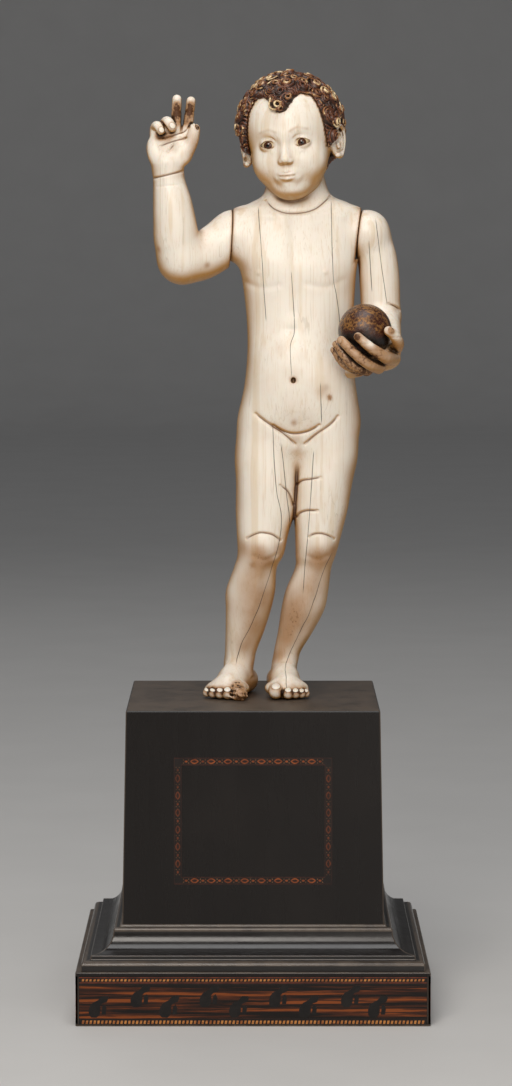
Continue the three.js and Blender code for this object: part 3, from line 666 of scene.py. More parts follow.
def lowered_arm_steps():
    """The arm that holds the globe on its upturned palm, with the fingers curled up in front of it."""
    return [
        add(LEFT_SHOULDER, 0),
        add(limb([(79.5, 1, 325, 14.4), (86.3, 2, 308, 13.8),
                  (88.4, 2, 290, 14), (89.2, 1, 267, 13.6)], 12), 5),
        add(limb([(89.4, 0, 266, 13.4), (91, -18, 256, 11.8), (93, -32, 246.5, 9.6)], 12), 4),
        add(ellipsoid((90, -40, 239), (11.8, 13.4, 8.6)), 3),
        add(ellipsoid((80, -44, 234.8), (12.4, 11.6, 5.8)), 3),
        *finger_steps(LOWERED_FINGERS),
        add(limb([(73, -39, 230, 3.8), (67.5, -27, 228.4, 4)]), 1.4),
        *(crease(fold, 1, 1) for fold in ELBOW_FOLDS),
        groove([(84.5, -36, 250), (88, -42, 247.5), (96, -43, 247.6)], 0.9, 0.7),
        *(mound(place, (1.5, 2.4, 1.6), -0.5) for place in NAIL_BEDS),
        cut(ball(GLOBE_CENTRE, GLOBE_RADIUS + SEAM_GAP), 0),
        cut(past_seam(LEFT_SEAM, -1), 0.4),
    ]


# Nails: thin plates over the ends of the toes and fingers, as the last two knots, an outward way and a stain

TOE_NAILS = [(((x, y + 2.1 * r, z + 0.45 * r, r * 0.98), (x, y + 0.15 * r, z, r * 0.92)), (0, -0.55, 0.85), 0)
             for foot in (RIGHT_FOOT, LEFT_FOOT) for x, y, z, r in foot["toes"]]
RAISED_NAILS, LOWERED_NAILS = ([(knots[-2:], *nail) for knots, _, _, nail in fingers if nail]
                               for fingers in (RAISED_FINGERS, LOWERED_FINGERS))
NAIL_PROUD = 0.28


def nail_plate(knots, outwards):
    """A thin shell over the end of a finger or toe, and its middle."""
    before, tip = (Vector(knot[:3]) for knot in knots)
    radius = knots[1][3]
    on = (tip - before).normalized()
    out = (Vector(outwards) - on * Vector(outwards).dot(on)).normalized()
    middle = tip + out * radius * 0.92 + on * radius * 0.12
    turn = Matrix((out.cross(on), out, on)).transposed().to_4x4()
    patch = placed(ellipsoid((0, 0, 0), (0.62 * radius, 0.5 * radius, 0.8 * radius)),
                   Matrix.Translation(middle) @ turn)
    grown = limb([(*knot[:3], knot[3] + NAIL_PROUD) for knot in knots], 1)
    return meeting(grown, patch), middle


# Clay: the distances on an even grid, worked out in small blocks

BLOCK = 16  # places along each side of a block
COARSER = 1
NAIL_GRAIN, GLOBE_GRAIN = 0.22, 0.45  # the spacing of those grids
SKIN = 4.0  # how far from the surface the distances are kept for shading hollows
MARGIN = 3  # the room left round a piece in its grid


class Clay:
    """The distances after some steps, on an even grid in millimetres."""

    def __init__(self, steps, voxel):
        added = [step.form for step in steps if step.adds]
        low = np.min([form.low for form in added], 0) - MARGIN
        high = np.max([form.high for form in added], 0) + MARGIN
        self.low, self.voxel = low, voxel
        counts = np.ceil((high - low) / (voxel * BLOCK)).astype(int)
        axes = [low[k] + voxel * np.arange(counts[k] * BLOCK) for k in range(3)]
        middles = [axis.reshape(-1, BLOCK).mean(1) for axis in axes]
        rough_look = worked(steps, *np.ix_(*middles))
        span = voxel * BLOCK * math.sqrt(3) / 2 + SKIN
        self.values = np.full(counts * BLOCK, FAR, np.float32)
        for place in np.ndindex(*counts):
            part = tuple(slice(i * BLOCK, (i + 1) * BLOCK) for i in place)
            if abs(rough_look[place]) > span:
                self.values[part] = math.copysign(FAR, rough_look[place])
                continue
            here = np.ix_(*(axis[cut_out] for axis, cut_out in zip(axes, part)))
            self.values[part] = np.clip(worked(steps, *here), -FAR, FAR)

    def skin(self):
        """The surface as points in millimetres and four-sided faces."""
        grid = openvdb.FloatGrid(FAR)
        grid.copyFromArray(self.values)
        points, _, quads = grid.convertToPolygons()
        return points * self.voxel + self.low, quads

    def at(self, points):
        """The distance at each point, read between the grid's places."""
        place = (points - self.low) / self.voxel
        top = np.array(self.values.shape) - 1.001
        inside = np.all((place >= 0) & (place <= top), axis=1)
        place = np.clip(place, 0, top)
        i = place.astype(int)
        u = place - i
        total = np.zeros(len(points))
        for corner in np.ndindex(2, 2, 2):
            weight = np.prod(np.where(corner, u, 1 - u), axis=1)
            total += weight * self.values[i[:, 0] + corner[0], i[:, 1] + corner[1], i[:, 2] + corner[2]]
        return np.where(inside, total, FAR)


CLAYS = {}


def clay(name):
    """The clay of one piece, made once."""
    if name not in CLAYS:
        sizes = bpy.context.scene.statuette
        steps = {"body": body_steps, "raised": raised_arm_steps, "lowered": lowered_arm_steps,
                 "hair": hair_steps}
        voxel = {"body": sizes.body_grain, "hair": sizes.hair_grain}.get(name, sizes.arm_grain) / MM
        CLAYS[name] = Clay(steps[name](), voxel * COARSER)
    return CLAYS[name]


# The hair: whorls that share out the skull between them, each a spiral of fine strands on its own rise


def hair_margin(x, y, z):
    """How far a place lies inside the hairline, in the head's frame; below 0 the skin is bare."""
    oval = ((np.abs(x) / 27) ** 3 + (np.maximum(0, z + 8) / 40) ** 3) ** (1 / 3)
    lock = 12 * np.exp(-(x / 9) ** 2) * smoothstep(z, 8, 20)
    front = np.maximum((oval - 1) * 30 + lock, y + 8)
    lowest = -10 - 21 * smoothstep(y, -3, 15)
    beside = np.hypot((y - EAR_CENTRE[1]) / EAR_RADII[1], (z - EAR_CENTRE[2]) / EAR_RADII[2])
    ear = (beside - 1.12) * EAR_RADII[1]
    return np.minimum(np.minimum(front, z - lowest), ear)


HAIR_BED = 2.6
UNDER_SKIN = 4.2  # the hair's solid lies this far under the bare skin
WHORL_COUNT = 330
WHORL_RADIUS, WHORL_RISE, WHORL_REACH = 4.2, 1.5, 11
WHORL_HOLE = 2.6  # how deep each whorl is drilled at its middle
STRAND_PITCH, STRAND_RISE = 2.1, 1.5
PROUD_LOCKS = 120


def whorl_places():
    """The whorls' middles on the skull, their outward ways and how far inside the hairline each one is."""
    skull = shaped(skull_steps())
    numbers = np.arange(WHORL_COUNT)
    wobble = np.random.default_rng(11).normal(0, 0.035, (WHORL_COUNT, 3))
    height = 1 - 2 * (numbers + 0.5) / WHORL_COUNT
    golden = math.pi * (3 - math.sqrt(5)) * numbers
    flat = np.sqrt(1 - height ** 2)
    ways = np.stack([flat * np.cos(golden), flat * np.sin(golden), height], 1) + wobble
    ways = np.concatenate([[(0.0, -0.9, 0.56), (-0.2, -0.8, 0.66), (0.2, -0.8, 0.66)], ways])
    ways /= np.linalg.norm(ways, axis=1)[:, None]
    depths = np.linspace(20, 52, 129)
    points = ways[:, None] * depths[None, :, None]
    found = skull.distance(points[..., 0], points[..., 1], points[..., 2])
    places = ways * depths[np.argmax(found > 0, axis=1)][:, None]
    slope = np.stack([skull.distance(*(places + 0.5 * np.eye(3)[k]).T) for k in range(3)], 1)
    normals = slope - skull.distance(*places.T)[:, None]
    normals /= np.linalg.norm(normals, axis=1)[:, None]
    margin = hair_margin(*places.T)
    kept = margin > 1.6
    return places[kept], normals[kept], margin[kept]


def lock_knots(centre, outwards, size, start, hand):
    """A lock that stands clear of the hair: a tail that runs into an open ring round a drilled hole."""
    side = outwards.orthogonal().normalized()
    up = outwards.cross(side)
    knots = []
    for t in np.linspace(0, 1, 17):
        out = size * (2.3 + 4.2 * max(0, 1 - t / 0.36) ** 1.3 - 0.7 * t)
        turn = start + hand * (t ** 0.9) * 1.45 * 2 * math.pi
        place = centre + (side * math.cos(turn) + up * math.sin(turn)) * out
        place += outwards * (1.0 * smoothstep(t, 0, 0.5) - 0.5 * smoothstep(t, 0.75, 1) - 0.014 * out * out)
        knots.append((*place, 0.42 + 0.3 * math.sin(math.pi * min(1, 0.15 + 0.85 * t)) ** 0.6))
    return knots


def hair_steps():
    """The bed of whorls and the locks that stand proud of it, set on the figure."""
    skull = shaped(skull_steps())
    places, normals, margins = whorl_places()
    chance = np.random.default_rng(5)
    count = len(places)
    sizes, hands = chance.uniform(0.78, 1.28, count), chance.choice([-1, 1], count)
    starts, lifts = chance.uniform(0, 1, count), chance.uniform(0.4, 1.4, count)
    longs, leans = chance.uniform(0.82, 1.22, count), chance.uniform(0, math.pi, count)
    sides = [Vector(n).orthogonal().normalized() for n in normals]
    sides = [Matrix.Rotation(lean, 3, Vector(n)) @ side for n, side, lean in zip(normals, sides, leans)]
    ups = [Vector(n).cross(side) for n, side in zip(normals, sides)]

    def bed(x, y, z):
        low, high = np.array([x.min(), y.min(), z.min()]), np.array([x.max(), y.max(), z.max()])
        apart = np.maximum(np.maximum(low - places, places - high), 0)
        near = np.nonzero((apart ** 2).sum(1) < WHORL_REACH ** 2)[0]
        closest, height = np.full(x.shape, np.inf), np.zeros(x.shape)
        for k in near:
            dx, dy, dz = x - places[k][0], y - places[k][1], z - places[k][2]
            u = (dx * sides[k][0] + dy * sides[k][1] + dz * sides[k][2]) * longs[k]
            v = (dx * ups[k][0] + dy * ups[k][1] + dz * ups[k][2]) / longs[k]
            out = np.sqrt(u * u + v * v) / sizes[k]
            closer = out < closest
            phase = out / STRAND_PITCH - hands[k] * np.arctan2(v, u) / (2 * math.pi) + starts[k]
            strands = STRAND_RISE * np.abs(np.cos(math.pi * phase)) ** 0.8
            dome = WHORL_RISE * lifts[k] * np.clip(1 - (out / WHORL_RADIUS) ** 2, -0.5, 1)
            height = np.where(closer, dome + strands - WHORL_HOLE * np.exp(-(out / 1.1) ** 2), height)
            closest = np.minimum(closest, out)
        margin = hair_margin(x, y, z) + 0.6 * np.sin(0.8 * x + 1.1 * z) * np.sin(0.9 * z - 0.6 * y)
        rise = HAIR_BED * (0.5 + 0.5 * smoothstep(margin, 0, 5)) + height * smoothstep(margin, 0.9, 3.6)
        return skull.distance(x, y, z) + UNDER_SKIN - (rise + UNDER_SKIN) * smoothstep(margin, -0.5, 1.2)

    steps = [add(Form(skull.low - 5, skull.high + 5, bed), 0)]
    inner = [k for k in range(count) if margins[k] > 4]
    for k in chance.permutation(inner)[:PROUD_LOCKS]:
        lift = HAIR_BED + WHORL_RISE * lifts[k] * 0.6 + 0.4
        knots = lock_knots(Vector(places[k]) + Vector(normals[k]) * lift, Vector(normals[k]), sizes[k],
                           chance.uniform(0, 2 * math.pi), hands[k])
        steps.append(add(limb(knots, 2), 0.5))
    return [add(placed(shaped(steps), HEAD_PLACE), 0)]


# Meshes


def dress(obj, material, nodes=()):
    """Gives an object its finish, and ties it to the frame."""
    for each in material if isinstance(material, (list, tuple)) else [material]:
        obj.data.materials.append(each)
    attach(obj, "root")
    if nodes:
        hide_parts(*nodes)
    return obj


def linked(name, data):
    """An object for a mesh, a light or a camera, in the scene."""
    obj = bpy.data.objects.new(name, data)
    bpy.context.collection.objects.link(obj)
    return obj


def mesh_object(name, points, faces, smooth_angle=None, finishes=None):
    """An object from points in metres and lists of corners, shaded smooth under an angle."""
    mesh = bpy.data.meshes.new(name)
    mesh.from_pydata([tuple(p) for p in points], [], [list(f) for f in faces])
    work = bmesh.new()
    work.from_mesh(mesh)
    bmesh.ops.recalc_face_normals(work, faces=work.faces)
    work.to_mesh(mesh)
    work.free()
    if finishes is not None:
        mesh.polygons.foreach_set("material_index", finishes)
    if smooth_angle is not None:
        mesh.shade_smooth()
        mesh.set_sharp_from_angle(angle=math.radians(smooth_angle))
    return linked(name, mesh)


def skin_object(name, points, quads, face_limit):
    """A smooth object from points above the soles and four-sided faces, with a limit to its triangles."""
    points = (points + (0, 0, GROUND / MM)) * MM
    mesh = bpy.data.meshes.new(name)
    mesh.vertices.add(len(points))
    mesh.vertices.foreach_set("co", points.astype(np.float32).ravel())
    mesh.loops.add(quads.size)
    mesh.loops.foreach_set("vertex_index", quads.astype(np.int32).ravel())
    mesh.polygons.add(len(quads))
    mesh.polygons.foreach_set("loop_start", np.arange(0, quads.size, 4, dtype=np.int32))
    mesh.update(calc_edges=True)
    mesh.validate()
    obj = linked(name, mesh)
    share = face_limit / (2 * len(quads))
    if share < 1:
        fewer = obj.modifiers.new("fewer faces", "DECIMATE")
        fewer.ratio = share
        obj.data = bpy.data.meshes.new_from_object(obj.evaluated_get(bpy.context.evaluated_depsgraph_get()))
        obj.modifiers.clear()
        bpy.data.meshes.remove(mesh)
    obj.data.shade_smooth()
    return obj


def vertex_rows(mesh):
    """The mesh's points in millimetres above the soles, and its normals."""
    places, normals = (np.empty(len(mesh.vertices) * 3, np.float32) for _ in range(2))
    mesh.vertices.foreach_get("co", places)
    mesh.vertex_normals.foreach_get("vector", normals)
    return places.reshape(-1, 3) / MM - (0, 0, GROUND / MM), normals.reshape(-1, 3)


def paint(mesh, **layers):
    """Stores numbers at the points of a mesh, under their names; a single number goes to all points."""
    for name, values in layers.items():
        values = np.broadcast_to(np.asarray(values, np.float32), len(mesh.vertices))
        mesh.attributes.new(name, "FLOAT", "POINT").data.foreach_set("value", np.ascontiguousarray(values))


HOLLOW_REACHES = (0.8, 1.8, 3.4)


def hollows(points, normals, clays):
    """How far each point lies in a hollow, from 0 to 1, with the nearby pieces counted; the colour is
    darkened there as dirt and painted shade.
    """
    total = np.zeros(len(points))
    for reach in HOLLOW_REACHES:
        ahead = points + normals * reach
        nearest = np.min([each.at(ahead) for each in clays], 0)
        total += np.clip(1 - nearest / reach, 0, 1.4)
    return np.clip(total / len(HOLLOW_REACHES), 0, 1)


NO_LINE = 40.0  # the distance to a drawn line where there is none


def drawn_at(points, normals, lines, running):
    """The signed distance to the nearest line, running across, 0, or up, 2, and how strongly it shows."""
    on, off = points[:, running], points[:, 2 - running]
    nearest, signed, shown = (np.full(len(on), start) for start in (NO_LINE, NO_LINE, 0.0))
    for line in lines:
        knots = smooth_path([point if running == 0 else point[::-1] for point in line], 6)
        knots = knots[np.argsort(knots[:, 0])]
        start, end = knots[0, 0], knots[-1, 0]
        slope = np.interp(on, knots[:, 0], np.gradient(knots[:, 1], knots[:, 0]))
        offset = (off - np.interp(on, knots[:, 0], knots[:, 1])) / np.sqrt(1 + slope ** 2)
        away = np.hypot(offset, np.maximum(np.maximum(start - on, on - end), 0))
        fade = smoothstep(on, start - 0.5, start + 3) * (1 - smoothstep(on, end - 3, end + 0.5))
        closer = away < nearest
        nearest = np.where(closer, away, nearest)
        signed = np.where(closer, offset, signed)
        shown = np.where(closer, fade * (1 - smoothstep(away, 1.5, 2.5)), shown)
    return signed, shown * smoothstep(-normals[:, 1], -0.2, 0.15)


BODY_CRACKS = [
    [(3.7, 343.2), (6.2, 307.7), (7.6, 284.8), (9, 263.9)],
    [(26.5, 298.7), (27.9, 277.8), (28.6, 257), (25.8, 246.5), (26.5, 225.7)],
    [(54.2, 347.4), (55, 304.3), (55.8, 291.7), (58.2, 280), (60.2, 262), (58.8, 240)],
    [(46.8, 222), (47.5, 193)],
    [(13.6, 192), (14.7, 166), (16.4, 145), (19.6, 130), (18.9, 113), (13.2, 91.9), (4.1, 63.7), (0.6, 55.3),
     (-4.3, 44.7), (-7.9, 38.4), (-10.7, 28.5), (-12.1, 22)],
    [(19.6, 178), (21.7, 160), (23.6, 140), (25.6, 122), (24, 106)],
    [(42.2, 174), (40.8, 152), (39.4, 131), (38, 113), (36.5, 96), (35, 74)],
    [(55.4, 102.5), (49.1, 88.4), (40, 60.2), (35.1, 50.3), (30.9, 41.2), (26.7, 32), (23.9, 25), (22.5, 20),
     (23.2, 13.6), (23.2, 4)],
]
ARM_CRACKS = [[(85, 334.9), (87.9, 312.6), (93, 275.7)], [(80.5, 320), (81.8, 298), (82.6, 284)]]

# Stains and painted shade: x, y, height, radius and strength. Spots down the outer sides of the trunk, thighs
# and knees, at the soles, in the navel and between the toes are painted shade; those on the knees and shins
# are stains with painted shade. A negative strength leaves a clean patch
BODY_STAINS_AND_SHADE = [
    (27.9, -29, 223.6, 2.6, 1.2), (28.2, -27, 192.8, 2.4, 1.1), (52.9, -26, 211.2, 1.8, 1.2),
    (48, -28, 216, 5, 0.35), (27, -29, 257.5, 2.4, 0.7), (20, -29, 246, 6, 0.2), (50, -26, 219, 2.2, 0.6),
    (33, -29, 240, 5, 0.12), (29.7, -22, 182, 5, 0.35), (30, -24, 205, 12, 0.12), (-16, 3, 18.2, 3, 0.9),
    (-9.6, -27, 4, 6, 0.95), (-11, -22, 9, 5, 0.8), (-8.6, -32.5, 3, 4.6, 0.8), (-0.8, -19, 93.3, 1.8, 0.9),
    # stains with painted shade on the knees and shins
    (6.2, -19, 91, 10, 0.42), (4, -20, 103, 7, 0.42), (13, -18, 95, 5, 0.35), (-8, -14, 106, 7, 0.4),
    (45, -18, 101, 8, 0.42), (46, -17, 92, 9, 0.4), (55, -12, 104, 5, 0.5), (18, -15, 106, 5, 0.4),
    (-3, -11, 62, 13, 0.3), (1.3, -6, 46, 9, 0.4), (8, -10, 72, 9, 0.3), (-6, -5, 34, 8, 0.35),
    (-4, -14, 80, 10, 0.32), (22.4, -2, 39, 9, 0.55), (34, -7, 66, 14, 0.36), (42, -8, 80, 9, 0.34),
    (27, -3, 52, 10, 0.34), (18, 2, 28, 6, 0.4), (-2, 8, 22, 6, 0.3), (12, 6, 26, 5, 0.4),
    (-27, -16, 9, 3, 0.4), (-20, -19, 9.5, 3, 0.5), (-34, -14, 3, 5, 0.3), (40, -16, 3, 5, 0.3),
    (18, -20, 10, 3, 0.2), (28, -21, 8.5, 3, 0.3), (35, -18, 8, 3, 0.3), (-25, -18, 0, 8, 0.35),
    (27, -18, 0, 10, 0.35), (0, -14, 96, 16, 0.16), (49, -12, 97, 15, 0.16), (3, -6, 60, 22, 0.16),
    (34, -2, 56, 22, 0.16), (-22, 0, 96, 12, 0.25), (62, 0, 92, 12, 0.25), (-4, 0, 30, 14, 0.15),
    # painted shade down the outer sides of the trunk and thighs
    (-8, -14, 302, 12, 0.26), (-6, -16, 276, 12, 0.2), (68, -14, 288, 12, 0.24), (69, -12, 240, 12, 0.28),
    (72, -8, 200, 13, 0.28), (-9, -10, 236, 10, 0.18), (-14, -6, 172, 12, 0.25), (-12, -6, 138, 12, 0.3),
    (70, -8, 160, 12, 0.28),
    # painted shade and dirt between the toes
    *(((a[0] + b[0]) / 2, (a[1] + b[1]) / 2 - 1, 5.4, 2.1, 1.3)
      for foot in (RIGHT_FOOT, LEFT_FOOT) for a, b in zip(foot["toes"], foot["toes"][1:])),
]
SEAM_GLUE = [(2, 0.3), (0.8, 0.5)]  # the brown glue's reach from a seam, and its strength
RAISED_STAINS_AND_SHADE = [
    (-44, -22.5, 408, 3.6, 1.5), (-43.2, -22.6, 412.6, 3, 1.2), (-52.9, -22.5, 407, 3.6, 1.5),
    (-52.7, -22.8, 412.6, 3, 1.2), (-45.4, -21, 401, 3, 0.9), (-53.2, -21, 400.5, 3, 0.9),
    # painted shade under the raised arm's elbow
    (-50, -14, 290, 12, 0.35), (-30, -6, 298, 12, 0.35), (-38, -18, 318, 8, 0.25), (-64, -16, 300, 10, 0.2),
    (-65.4, -23, 392.6, 2.6, 1), (-62.6, -24, 391.6, 3, 1.3), (-58.6, -25, 391.6, 2.8, 1.1),
    (-55, -25, 393.4, 2.4, 0.9), (-60.8, -24, 396, 2, 0.9), (-38.2, -25.4, 398.2, 2, 1.5),
    (-40.6, -25, 386, 5, 0.35), (-43, -25, 379, 5, 0.3), (-41, -26, 392, 5, 0.3), (-66, -24, 368, 6, 0.2),
    (-52, -26, 366, 6, 0.2), (-58, -28, 384, 8, 0.2), (-31.9, -22, 302.7, 2.6, 0.5),
    (-64.8, -22, 314, 2.6, 0.45), (-40, -22, 311, 2, 0.4), (-49, -27, 392, 3, 0.7),
    (-67.4, -21, 400.4, 2, 0.5), (-47, -17, 403, 7, 0.25),
]
LOWERED_STAINS = [
    (86, -60, 243, 12, 0.85), (70, -62, 246, 11, 0.85), (62, -52, 242, 11, 1), (98, -50, 250, 8, 0.75),
    (92, -34, 240, 10, 0.45), (76, -46, 230, 12, 1), (98, -10, 271, 3, 0.4), (86, -16, 300, 2.6, 0.3),
    (83, -64, 240.8, 2.4, 0.8), (74, -62, 236.4, 2.4, 0.8), (78, -64, 246.5, 2, 0.6),
    (90, -60.4, 246.6, 3, -0.7), (80, -68, 250, 2.6, -0.6), (70, -65, 243.6, 2.6, -0.6),
    (63.4, -57, 241, 2.4, -0.4),
]


def stains_at(points, spots):
    """The strength of the stains, of the painted shade and of the glue along the seams at each point."""
    total = np.zeros(len(points))
    for seam in (RIGHT_SEAM, LEFT_SEAM):
        way = np.array(Vector(seam["way"]).normalized())
        from_seam = np.abs((points - np.array(seam["point"])) @ way)
        level = np.abs(points[:, 2] - seam["point"][2]) < SEAM_REACH + 3
        for reach, strength in SEAM_GLUE:
            total += level * strength * np.exp(-(from_seam / reach) ** 2)
    for x, y, z, radius, strength in spots:
        square = ((points - (x, y, z)) ** 2).sum(1)
        total += strength * np.exp(-square / radius ** 2)
    return np.clip(total, 0, 1.5)


def along(points, radius, strength, steps=8):
    """Small stains close together along a line in the head's frame."""
    return [(*(HEAD_PLACE @ Vector(p)), radius, strength) for p in smooth_path(points, steps)]


def face_spots():
    """The faint brown paint of the brows, the lids' edges and the line between the lips, and painted shade in
    the nostrils.
    """
    spots = along(MOUTH_LINE, 0.7, 0.16)
    for side in SIDES:
        cx, cy, cz = mirrored(EYE_CENTRE, side)
        cy, half = cy - EYE_RADIUS, ALMOND["half_width"]
        for bow in (ALMOND["upper"], -ALMOND["lower"]):
            edge = [(cx + side * half * t, cy + 2.6 * t * t, cz + bow * (1 - t * t))
                    for t in (-0.95, -0.5, 0, 0.5, 0.95)]
            spots += along(edge, 0.7, 0.2)
        brow = [(side * 4.5, -34, cz + 8), (side * 10, -33.5, cz + 10.4), (side * 17, -29.5, cz + 8.6)]
        spots += along(brow, 1.1, 0.07, 14)
        # painted shade in each nostril
        spots += [(*(HEAD_PLACE @ Vector((side * 1.6, -36.2, -17.7))), 0.9, 0.8)]
    return spots


def nail_spots(nails):
    """Dirt and painted shade round some nails, where their edges sink in."""
    return [(*nail_plate(knots, outwards)[1], knots[1][3] * 0.84, 1.1) for knots, outwards, _ in nails]


# Finishes


# Kinds of node: the type, its options, the inputs that values go into in order, and the output
SUM, LESS, PRODUCT, RATIO, SCALED, AWAY = ({"node": "Math", "options": {"operation": each}} for each in (
    "ADD", "SUBTRACT", "MULTIPLY", "DIVIDE", "MULTIPLY_ADD", "ABSOLUTE"))
# A ramp's inputs are a value, the low and high ends that it comes from, and those that it goes to
RAMP = {"node": "MapRange", "options": {"interpolation_type": "SMOOTHSTEP"}}
# A layer's inputs are a factor, the colour under it and the colour over it
LAYER = {"node": "Mix", "options": {"data_type": "RGBA"}, "inputs": (0, 6, 7), "output": 2}
NOISE = {"node": "TexNoise", "inputs": ("Vector", "Scale", "Detail", "Roughness")}
STRETCH = {"node": "VectorMath", "options": {"operation": "MULTIPLY"}}
TOWARDS = {"node": "VectorMath", "options": {"operation": "DOT_PRODUCT"}, "output": 1}
PLACE = {"node": "TexCoord", "output": "Object"}
NORMAL = {"node": "NewGeometry", "output": "Normal"}
HEIGHT = {"node": "SeparateXYZ", "output": "Z"}
STORED = {"node": "Attribute", "output": "Fac"}
BUMP = {"node": "Bump", "inputs": ("Height", "Strength", "Distance")}


def waves(spacing):
    """The scale of a noise whose waves are a spacing in millimetres apart."""
    return round(1 / (spacing * MM))


class Shader:
    """A material and its nodes."""

    def __init__(self, name):
        self.material = bpy.data.materials.new(name)
        self.material.use_nodes = True
        self.tree = self.material.node_tree

    def add(self, kind, *values, **settings):
        """Adds a node of a kind, sets its options, fills or links its inputs, and gives its output."""
        made = self.tree.nodes.new("ShaderNode" + kind["node"])
        for key, value in {**kind.get("options", {}), **settings}.items():
            setattr(made, key, value)
        self.feed(made, dict(zip(kind.get("inputs", range(5)), values)))
        return made.outputs[kind.get("output", 0)]

    def feed(self, target, inputs):
        """Fills or links some of a node's inputs."""
        for key, value in inputs.items():
            if isinstance(value, bpy.types.NodeSocket):
                self.tree.links.new(value, target.inputs[key])
            else:
                target.inputs[key].default_value = (*linear(value), 1) if isinstance(value, str) else value

    def surfaced(self, inputs):
        """Feeds the surface shader, and gives the material."""
        self.feed(self.tree.nodes["Principled BSDF"], inputs)
        return self.material


def ivory_finish(name, look):
    """Old ivory: paler cream in front and amber behind, as painted light and shade, with dirt and painted
    shade in the hollows, long grain, cracks and stains.
    """
    s = Shader(name)
    place, normal = s.add(PLACE), s.add(NORMAL)
    lengthways = s.add(STRETCH, place, (1, 1, 0.008))
    # Real grain lines are a few tenths of a millimetre apart, and are drawn coarser, so that they show
    grain = s.add(NOISE, lengthways, waves(1.111), 3, 0.6)
    broad = s.add(NOISE, lengthways, waves(5.88), 3)
    clouds = s.add(NOISE, place, waves(22.2), 4, 0.6)
    fine = s.add(NOISE, place, waves(1.667), 3)
    hollow, stain, crack, opening, fold, fold_dirt = (s.add(STORED, attribute_name=each) for each in (
        "hollow", "stain", "crack", "crack_opening", "fold", "fold_dirt"))
    # Painted light and shade: faces turned to the front and the top are paler, and faces turned away are
    # amber, as if lit from the front and above
    painted_light_facing = s.add(RAMP, s.add(TOWARDS, normal, (0, -0.86, 0.5)), 0.1, 0.7)
    painted_light_facing = s.add(SUM, painted_light_facing, s.add(SCALED, clouds, 0.5, -0.25), use_clamp=True)
    streak = s.add(RAMP, grain, 0.5, 0.74, 0.0, 0.3)
    bands = s.add(RAMP, broad, 0.5, 0.7, 0.0, 0.34)
    # Fine dry hairlines, some millimetres apart, on upright faces only
    drawn = s.add(NOISE, s.add(STRETCH, place, (1, 1, 0.006)), waves(7.69), 2)
    hairline = s.add(RAMP, s.add(AWAY, s.add(LESS, drawn, 0.5)), 0.012, 0.003, 0.0, 0.2)
    hairline = s.add(PRODUCT, hairline, s.add(RAMP, clouds, 0.42, 0.6))
    hairline = s.add(PRODUCT, hairline, s.add(RAMP, s.add(HEIGHT, normal), 0.35, 0.1))
    # Dirt and wax stay in the hollows, and painted shade darkens them with how far in a point lies
    in_hollow = s.add(RAMP, hollow, 0.08, 0.6, 0.0, 0.94)
    dirt = s.add(LAYER, s.add(RAMP, hollow, 0.1, 0.8), "#b98a4e", "#4a2812")
    # The stain attribute carries stains and painted shade: a warm wash, with dark patches where it is strong,
    # and darkest in the hollows as painted shade
    wash = s.add(PRODUCT, stain, s.add(SCALED, clouds, 0.9, 0.55))
    wash = s.add(RAMP, wash, -0.1, 0.75, -0.05, 0.85)
    patchy = s.add(SCALED, s.add(SUM, clouds, fine), 1.9, -0.9)
    stained = s.add(RAMP, s.add(PRODUCT, stain, patchy), 0.7, 1.25, 0.0, 0.97)
    deepest = s.add(RAMP, s.add(PRODUCT, hollow, wash), 0.08, 0.4, 0.0, 0.9)
    # Old dirt and painted shade make a thin dark line in each carved fold
    dark_fold = s.add(RAMP, s.add(AWAY, fold), 0.75, 0.12, 0.0, 0.85)
    dark_fold = s.add(PRODUCT, dark_fold, fold_dirt)
    # Cracks wander a little and open and close along their length
    offset = s.add(AWAY, s.add(SUM, crack, s.add(SCALED, broad, 1.2, -0.6)))
    width = s.add(SCALED, clouds, 0.55, look.crack_width)
    line = s.add(PRODUCT, s.add(RAMP, s.add(RATIO, offset, width), 1.0, 0.35, 0.0, 0.85), opening)
    colour = s.add(LAYER, painted_light_facing, look.ivory_deep, look.ivory_pale)
    for factor, tint in ((streak, "#c4a47a"), (bands, "#cfb386"), (hairline, "#8d7858"), (in_hollow, dirt),
                         (wash, "#a06f38"), (stained, "#4c2804"), (deepest, "#1c0e05"),
                         (dark_fold, "#6b431f"), (line, "#3b3126")):
        colour = s.add(LAYER, factor, colour, tint)
    relief = s.add(SUM, grain, s.add(PRODUCT, line, -1.5))
    polish = s.add(SUM, s.add(RAMP, clouds, 0.3, 0.7, 0.3, 0.44), s.add(PRODUCT, stained, 0.25))
    return s.surfaced({"Base Color": colour, "Roughness": polish, "IOR": 1.45,
                       "Normal": s.add(BUMP, relief, 0.35, 0.18 * MM), "Subsurface Weight": 0.14,
                       "Subsurface Radius": (1, 0.5, 0.28),
                       "Subsurface Scale": 1.4 * MM})


